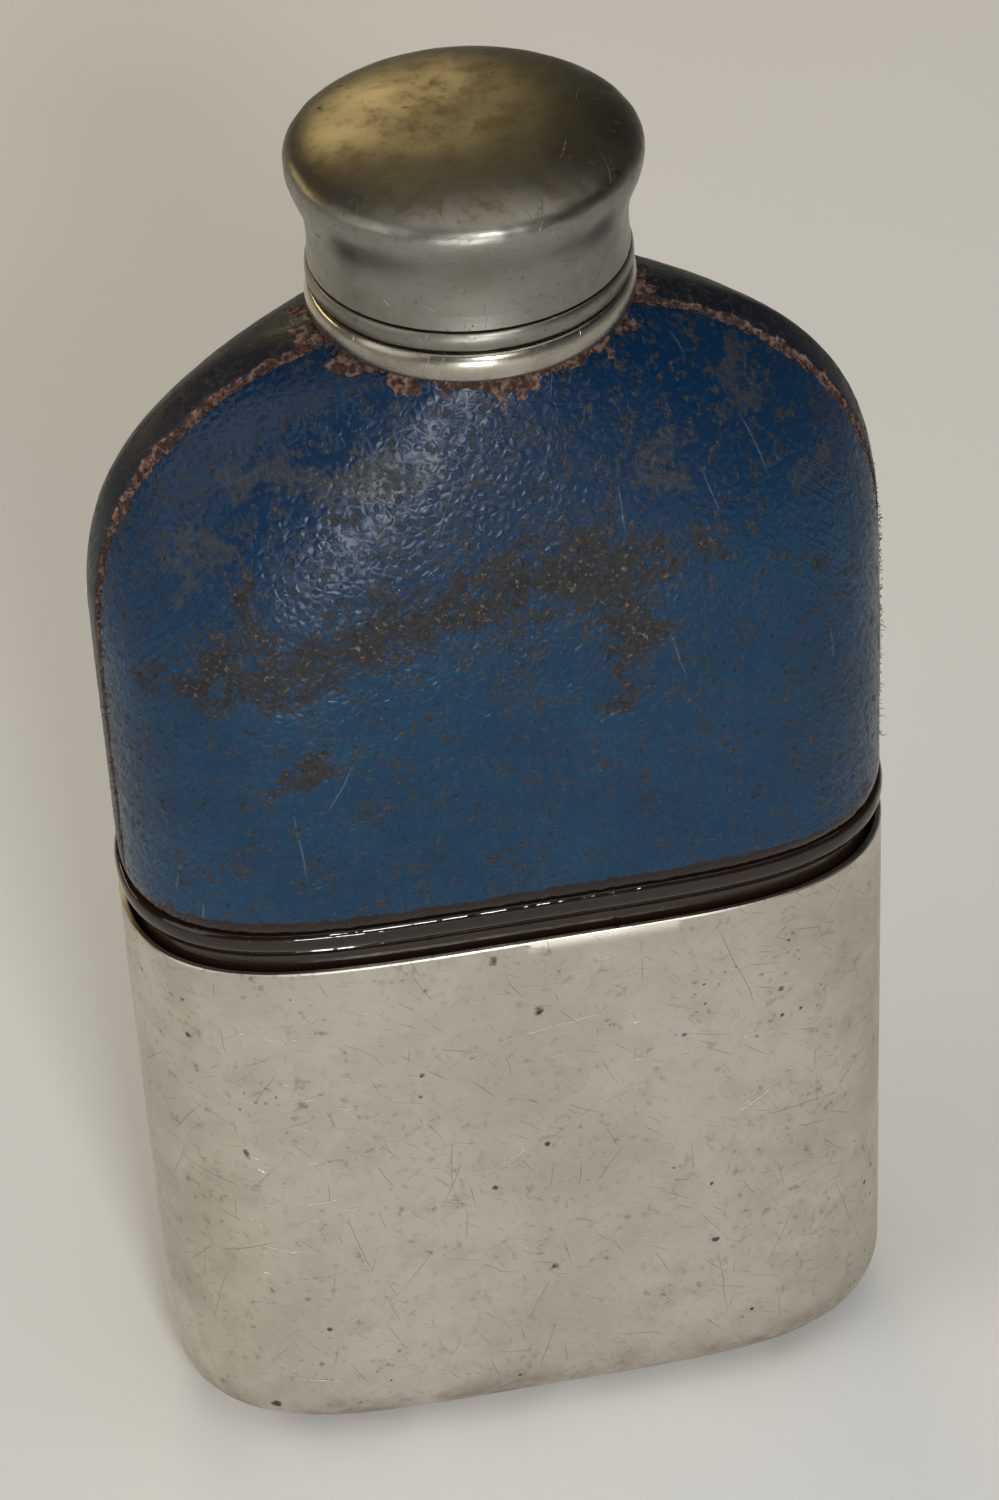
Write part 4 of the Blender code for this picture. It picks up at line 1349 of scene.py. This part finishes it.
def turned_piece(name, grid, body, made_of, node_name, loop=True, sharp=40.0):
    mesh = grid_mesh(name, grid, around=True, loop=loop, sharp=sharp)
    weld(mesh)
    return add_piece(name, mesh, body, made_of, [node_name])


COLLAR_BULGE = 0.7 * MM
THREAD_ROOT = 12.37 * MM
THREAD_DEPTH = 0.6 * MM
THREAD_LEAD = 3.6 * MM
THREAD_BOTTOM = 134.2 * MM
THREAD_TOP = 140.4 * MM
SLEEVE_TOP = 140.6 * MM


def make_collar():
    profile = bead_profile(collar_high.x, COLLAR_BULGE, collar_low.z, collar_high.z, THREAD_ROOT + GLASS_GAP)
    grid = turned_grid(profile, 240)
    grid += outward(grid, around=True) * (0.02 * MM * rough(grid, 5 * MM, 2, seed=21) - 0.02 * MM)[..., None]
    finish = pewter("polished_pewter", PEWTER_BRIGHT, PEWTER_DULL, 0.20, 0.5, 0.012 * MM, 0.05 * MM)
    return turned_piece("neck_ring", grid, "bottle", finish, "neck_collar")


def thread_wave(height, angle):
    return 0.5 + 0.5 * np.cos(2 * math.pi * (height / THREAD_LEAD - angle / (2 * math.pi)))


def thread_fade(height):
    inside = np.minimum(height - THREAD_BOTTOM, THREAD_TOP - height)
    return np.clip(inside / (THREAD_LEAD / 3), 0.0, 1.0)


def threaded(heights, depth_at):
    """Rings that follow the screw thread. depth_at gives each point's radius from fade and wave."""
    angle = np.linspace(0.0, 2 * math.pi, 180, endpoint=False) + math.pi / 2
    height = np.array(heights)[:, None]
    radius = depth_at(thread_fade(height), thread_wave(height, angle[None, :]))
    return np.stack([radius * np.cos(angle), radius * np.sin(angle), height + 0 * radius], axis=-1)


def make_sleeve():
    """The tube on the neck: a plain foot, the round thread and a rolled lip."""
    heights = [collar_low.z, 133.0 * MM, *np.linspace(THREAD_BOTTOM, THREAD_TOP, 52)]
    outside = threaded(heights, lambda fade, wave: THREAD_ROOT + THREAD_DEPTH * fade * wave)
    lip = turned_grid([
        (THREAD_ROOT - 0.04 * MM, SLEEVE_TOP - 0.06 * MM),
        (THREAD_ROOT - 0.15 * MM, SLEEVE_TOP),
        (SLEEVE_BORE + 0.15 * MM, SLEEVE_TOP),
        (SLEEVE_BORE, SLEEVE_TOP - 0.15 * MM),
        (SLEEVE_BORE, 135.0 * MM),
        (SLEEVE_BORE, collar_low.z),
    ])
    grid = np.vstack([outside, lip])
    finish = pewter("thread_pewter", PEWTER, PEWTER_DULL, 0.32, 0.8, 0.02 * MM)
    return turned_piece("neck_thread", grid, "bottle", finish, "neck_thread_sleeve")


def make_cement():
    """Cracked plaster between the sleeve and the glass, slightly sunk and uneven on top."""
    inner, outer = NECK_RADIUS + GLASS_GAP, SLEEVE_BORE - GLASS_GAP
    bottom, top = 130.8 * MM, 139.8 * MM
    profile = [(outer, z) for z in np.linspace(bottom, top - 0.2 * MM, 10)]
    profile += [(r, top) for r in np.linspace(outer - 0.15 * MM, inner + 0.15 * MM, 7)]
    profile += [(inner, z) for z in np.linspace(top - 0.2 * MM, bottom, 10)]
    grid = turned_grid(profile)
    sunk = 0.12 * MM * (rough(grid, 1.2 * MM, 4, seed=31) - 1.0)
    grid[10:17, :, 2] += sunk[10:17]
    made, tree, shader = new_material("plaster")
    place = place_of(tree)
    dirt = blotches(tree, place, 0.003, 6.0, 4.0, 0.4, 0.65)
    holes = spotted(tree, place, 0.0009, 0.4, 0.3)
    colour = blend_colour(tree, times(tree, dirt, 0.6), (0.62, 0.57, 0.48), (0.30, 0.24, 0.17))
    colour = tint(tree, colour, holes, 0.7, (0.12, 0.09, 0.06))
    relief = minus(tree, dirt, holes)
    set_shader(tree, shader, Base_Color=colour, Roughness=0.92, Normal=bump(tree, relief, 0.12 * MM))
    return turned_piece("neck_plaster", grid, "bottle", made, "neck_cement")


make_collar()
make_sleeve()
make_cement()

# %% [markdown]
# ## The cap
#
# The cap is a spun shell with a low dome, a soft rim where it is widest, and slightly hollow sides.
# The rim has been knocked many times, so it carries small ripples that catch the lamp. Inside are
# a threaded liner, a disc and the cork.

# %% Cap meshes
cap_low, cap_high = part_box("cap_shell")
CAP_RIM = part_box("cap_base_ring")[0].z
CAP_TOP = cap_high.z - CAP_RIM
CAP_WIDEST = cap_high.x
CAP_WIDEST_AT = 11.7 * MM
CAP_WAIST_AT = 3.6 * MM
CAP_WAIST = 14.63 * MM
CAP_WALL = 0.6 * MM
DOME_POWER = 2.55
BASE_RING_HEIGHT = 1.9 * MM
BASE_RING_RADIUS = 14.9 * MM
BASE_RING_BULGE = 0.4 * MM
FERRULE_TOP = 11.5 * MM
PLATE_THICKNESS = 0.8 * MM
CORK_THICKNESS = 2.6 * MM
CORK_RADIUS = 12.9 * MM


def cap_profile(inset, bottom):
    """The cap's outline set in by a distance, from its lower edge up to the middle of its dome."""
    points = [(CAP_WAIST - inset, bottom), (CAP_WAIST - inset, bottom + 0.5 * MM)]
    flare = CAP_WIDEST_AT - CAP_WAIST_AT
    for part in np.linspace(0.0, 1.0, 34):
        swell = (0.5 - 0.5 * math.cos(math.pi * part)) ** 2
        radius = CAP_WAIST - inset + (CAP_WIDEST - CAP_WAIST) * swell
        points.append((radius, CAP_RIM + CAP_WAIST_AT + flare * part))
    for angle in np.linspace(0.0, math.pi / 2, 52)[1:]:
        radius = (CAP_WIDEST - inset) * max(math.cos(angle), 0.0) ** (2 / DOME_POWER)
        rise = (CAP_TOP - inset - CAP_WIDEST_AT) * math.sin(angle) ** (2 / DOME_POWER)
        points.append((radius, CAP_RIM + CAP_WIDEST_AT + rise))
    points[-1] = (0.0, CAP_RIM + CAP_TOP - inset)
    return points


def make_cap_shell():
    bottom = CAP_RIM + BASE_RING_HEIGHT + GLASS_GAP
    outside = turned_grid(cap_profile(0.0, bottom), 240)
    height = outside[..., 2] - CAP_RIM
    at_rim = np.exp(-(((height - 12.0 * MM) / (1.7 * MM)) ** 2))
    # small ripples round the rim, where it has been knocked
    knocks = 0.055 * rough(outside, 1.9 * MM, 3, seed=41) * at_rim
    above_foot = smooth_step(outside[..., 2], cap_low.z, cap_low.z + 3 * MM)
    dents = 0.07 * rough(outside, 8 * MM, 2, seed=43) * above_foot
    shift = (knocks + dents - 0.13) * smooth_step(height, BASE_RING_HEIGHT, CAP_WAIST_AT) * MM
    moved = outside + outward(outside, around=True) * shift[..., None]
    moved[-1] = moved[-2].mean(axis=0)
    inside = turned_grid(cap_profile(CAP_WALL, bottom), 240)[::-1]
    # The cap's finish paints shade on the top of the dome in dark brown.
    finish = pewter(
        "cap_pewter", CAP_GREY, PEWTER_DULL, 0.33, 0.5, 0.016 * MM, 0.10 * MM,
        shaded_top=(CAP_RIM + 12.2 * MM, CAP_RIM + 14.4 * MM, DOME_SHADE_BROWN),
    )
    return turned_piece("cap_dome", np.vstack([moved, inside]), "cap", finish, "cap_shell")


def make_base_ring():
    inner = CAP_WAIST - CAP_WALL
    profile = bead_profile(BASE_RING_RADIUS, BASE_RING_BULGE, CAP_RIM, CAP_RIM + BASE_RING_HEIGHT, inner)
    grid = turned_grid(profile, 240)
    grid += outward(grid, around=True) * (0.03 * MM * rough(grid, 3 * MM, 3, seed=51) - 0.03 * MM)[..., None]
    finish = pewter("ring_pewter", CAP_GREY, PEWTER_DULL, 0.34, 0.6, 0.016 * MM, 0.05 * MM)
    return turned_piece("cap_bead", grid, "cap", finish, "cap_base_ring")


def make_ferrule():
    outer = CAP_WAIST - CAP_WALL - GLASS_GAP
    bottom, top = CAP_RIM + GLASS_GAP, CAP_RIM + FERRULE_TOP
    crest = THREAD_ROOT + THREAD_DEPTH + GLASS_GAP
    outside = turned_grid([
        (crest + 0.1 * MM, bottom),
        (outer - 0.1 * MM, bottom),
        (outer, bottom + 0.1 * MM),
        (outer, top - 0.1 * MM),
        (outer - 0.1 * MM, top),
        (crest + 0.1 * MM, top),
    ])
    heights = [top - 0.1 * MM, *np.linspace(THREAD_TOP, THREAD_BOTTOM, 52), bottom + 0.1 * MM]
    inside = threaded(heights, lambda fade, wave: crest - THREAD_DEPTH * fade * (1 - wave))
    finish = pewter("liner_pewter", PEWTER_BRIGHT, PEWTER_DULL, 0.36, 0.7, 0.02 * MM)
    grid = np.vstack([outside, inside])
    return turned_piece("cap_thread", grid, "cap", finish, "cap_thread_liner")


def disc_profile(radius, bottom, thickness, soft, rings):
    """A disc with rounded edges, from the middle of its underside to the middle of its top."""
    top = bottom + thickness
    flat = list(np.linspace(0.0, radius - soft, rings))
    points = [(r, bottom) for r in flat]
    for angle in np.linspace(0.2, math.pi / 2 - 0.2, 3):
        points.append((radius - soft + soft * math.sin(angle), bottom + soft - soft * math.cos(angle)))
    points += [(radius, bottom + soft), (radius, top - soft)]
    for angle in np.linspace(0.2, math.pi / 2 - 0.2, 3):
        points.append((radius - soft + soft * math.cos(angle), top - soft + soft * math.sin(angle)))
    return points + [(r, top) for r in flat[::-1]]


def make_plate():
    radius = CAP_WAIST - CAP_WALL - GLASS_GAP
    profile = disc_profile(radius, CAP_RIM + FERRULE_TOP + GLASS_GAP, PLATE_THICKNESS, 0.18 * MM, 14)
    finish = pewter("plate_pewter", PEWTER_BRIGHT, PEWTER_DULL, 0.4, 0.8, 0.02 * MM)
    grid = turned_grid(profile)
    return turned_piece("cap_disc", grid, "cap", finish, "cap_liner_plate", loop=False)


make_cap_shell()
make_base_ring()
make_ferrule()
make_plate()

# %% [markdown]
# The cork is cut across the grain. It has dark pores and brown streaks, and its underside keeps the
# round print of the bottle's lip.

# %% Cork
CORK_PALE = (0.42, 0.25, 0.13)
CORK_BROWN = (0.22, 0.115, 0.055)
CORK_STAIN = (0.10, 0.045, 0.022)
LIP_PRINT = 0.22 * MM


def cork_material():
    made, tree, shader = new_material("cork")
    place = place_of(tree)
    mottled = blotches(tree, place, 0.0016, 5.0, 2.0, 0.4, 0.65)
    streaks = node(tree, "Mapping", {"Vector": place, "Scale": (1.0, 0.3, 1.0)}).outputs[0]
    pores = use(tree, pits, Position=streaks, Spacing=0.0010, Amount=0.45, Radius=0.34)["Mask"]
    stain = blotches(tree, place, 0.009, 5.0, 8.0, 0.45, 0.62)
    colour = blend_colour(tree, mottled, CORK_PALE, CORK_BROWN)
    colour = tint(tree, colour, stain, 0.6, CORK_STAIN)
    colour = tint(tree, colour, pores, 0.85, (0.04, 0.02, 0.012))
    relief = minus(tree, times(tree, mottled, 0.4), pores)
    set_shader(tree, shader, Base_Color=colour, Roughness=0.85, Normal=bump(tree, relief, 0.12 * MM))
    return made


def make_cork():
    bottom = LIP_TOP + GLASS_GAP
    grid = turned_grid(disc_profile(CORK_RADIUS, bottom, CORK_THICKNESS, 0.35 * MM, 40))
    radius = np.hypot(grid[..., 0], grid[..., 1])
    under = grid[..., 2] < bottom + 0.01 * MM
    lip = smooth_step(radius, BORE_RADIUS - 0.3 * MM, BORE_RADIUS)
    lip *= 1 - smooth_step(radius, NECK_RADIUS, NECK_RADIUS + 0.3 * MM)
    chips = np.maximum(rough(grid, 1.0 * MM, 4, seed=61) - 0.25, 0.0)
    grid[..., 2] += under * (LIP_PRINT * lip + 0.25 * MM * chips)
    grid[0] = grid[0].mean(axis=0)
    return turned_piece("cork_seal", grid, "cork_seal", cork_material(), "cork_disc", loop=False)


make_cork()
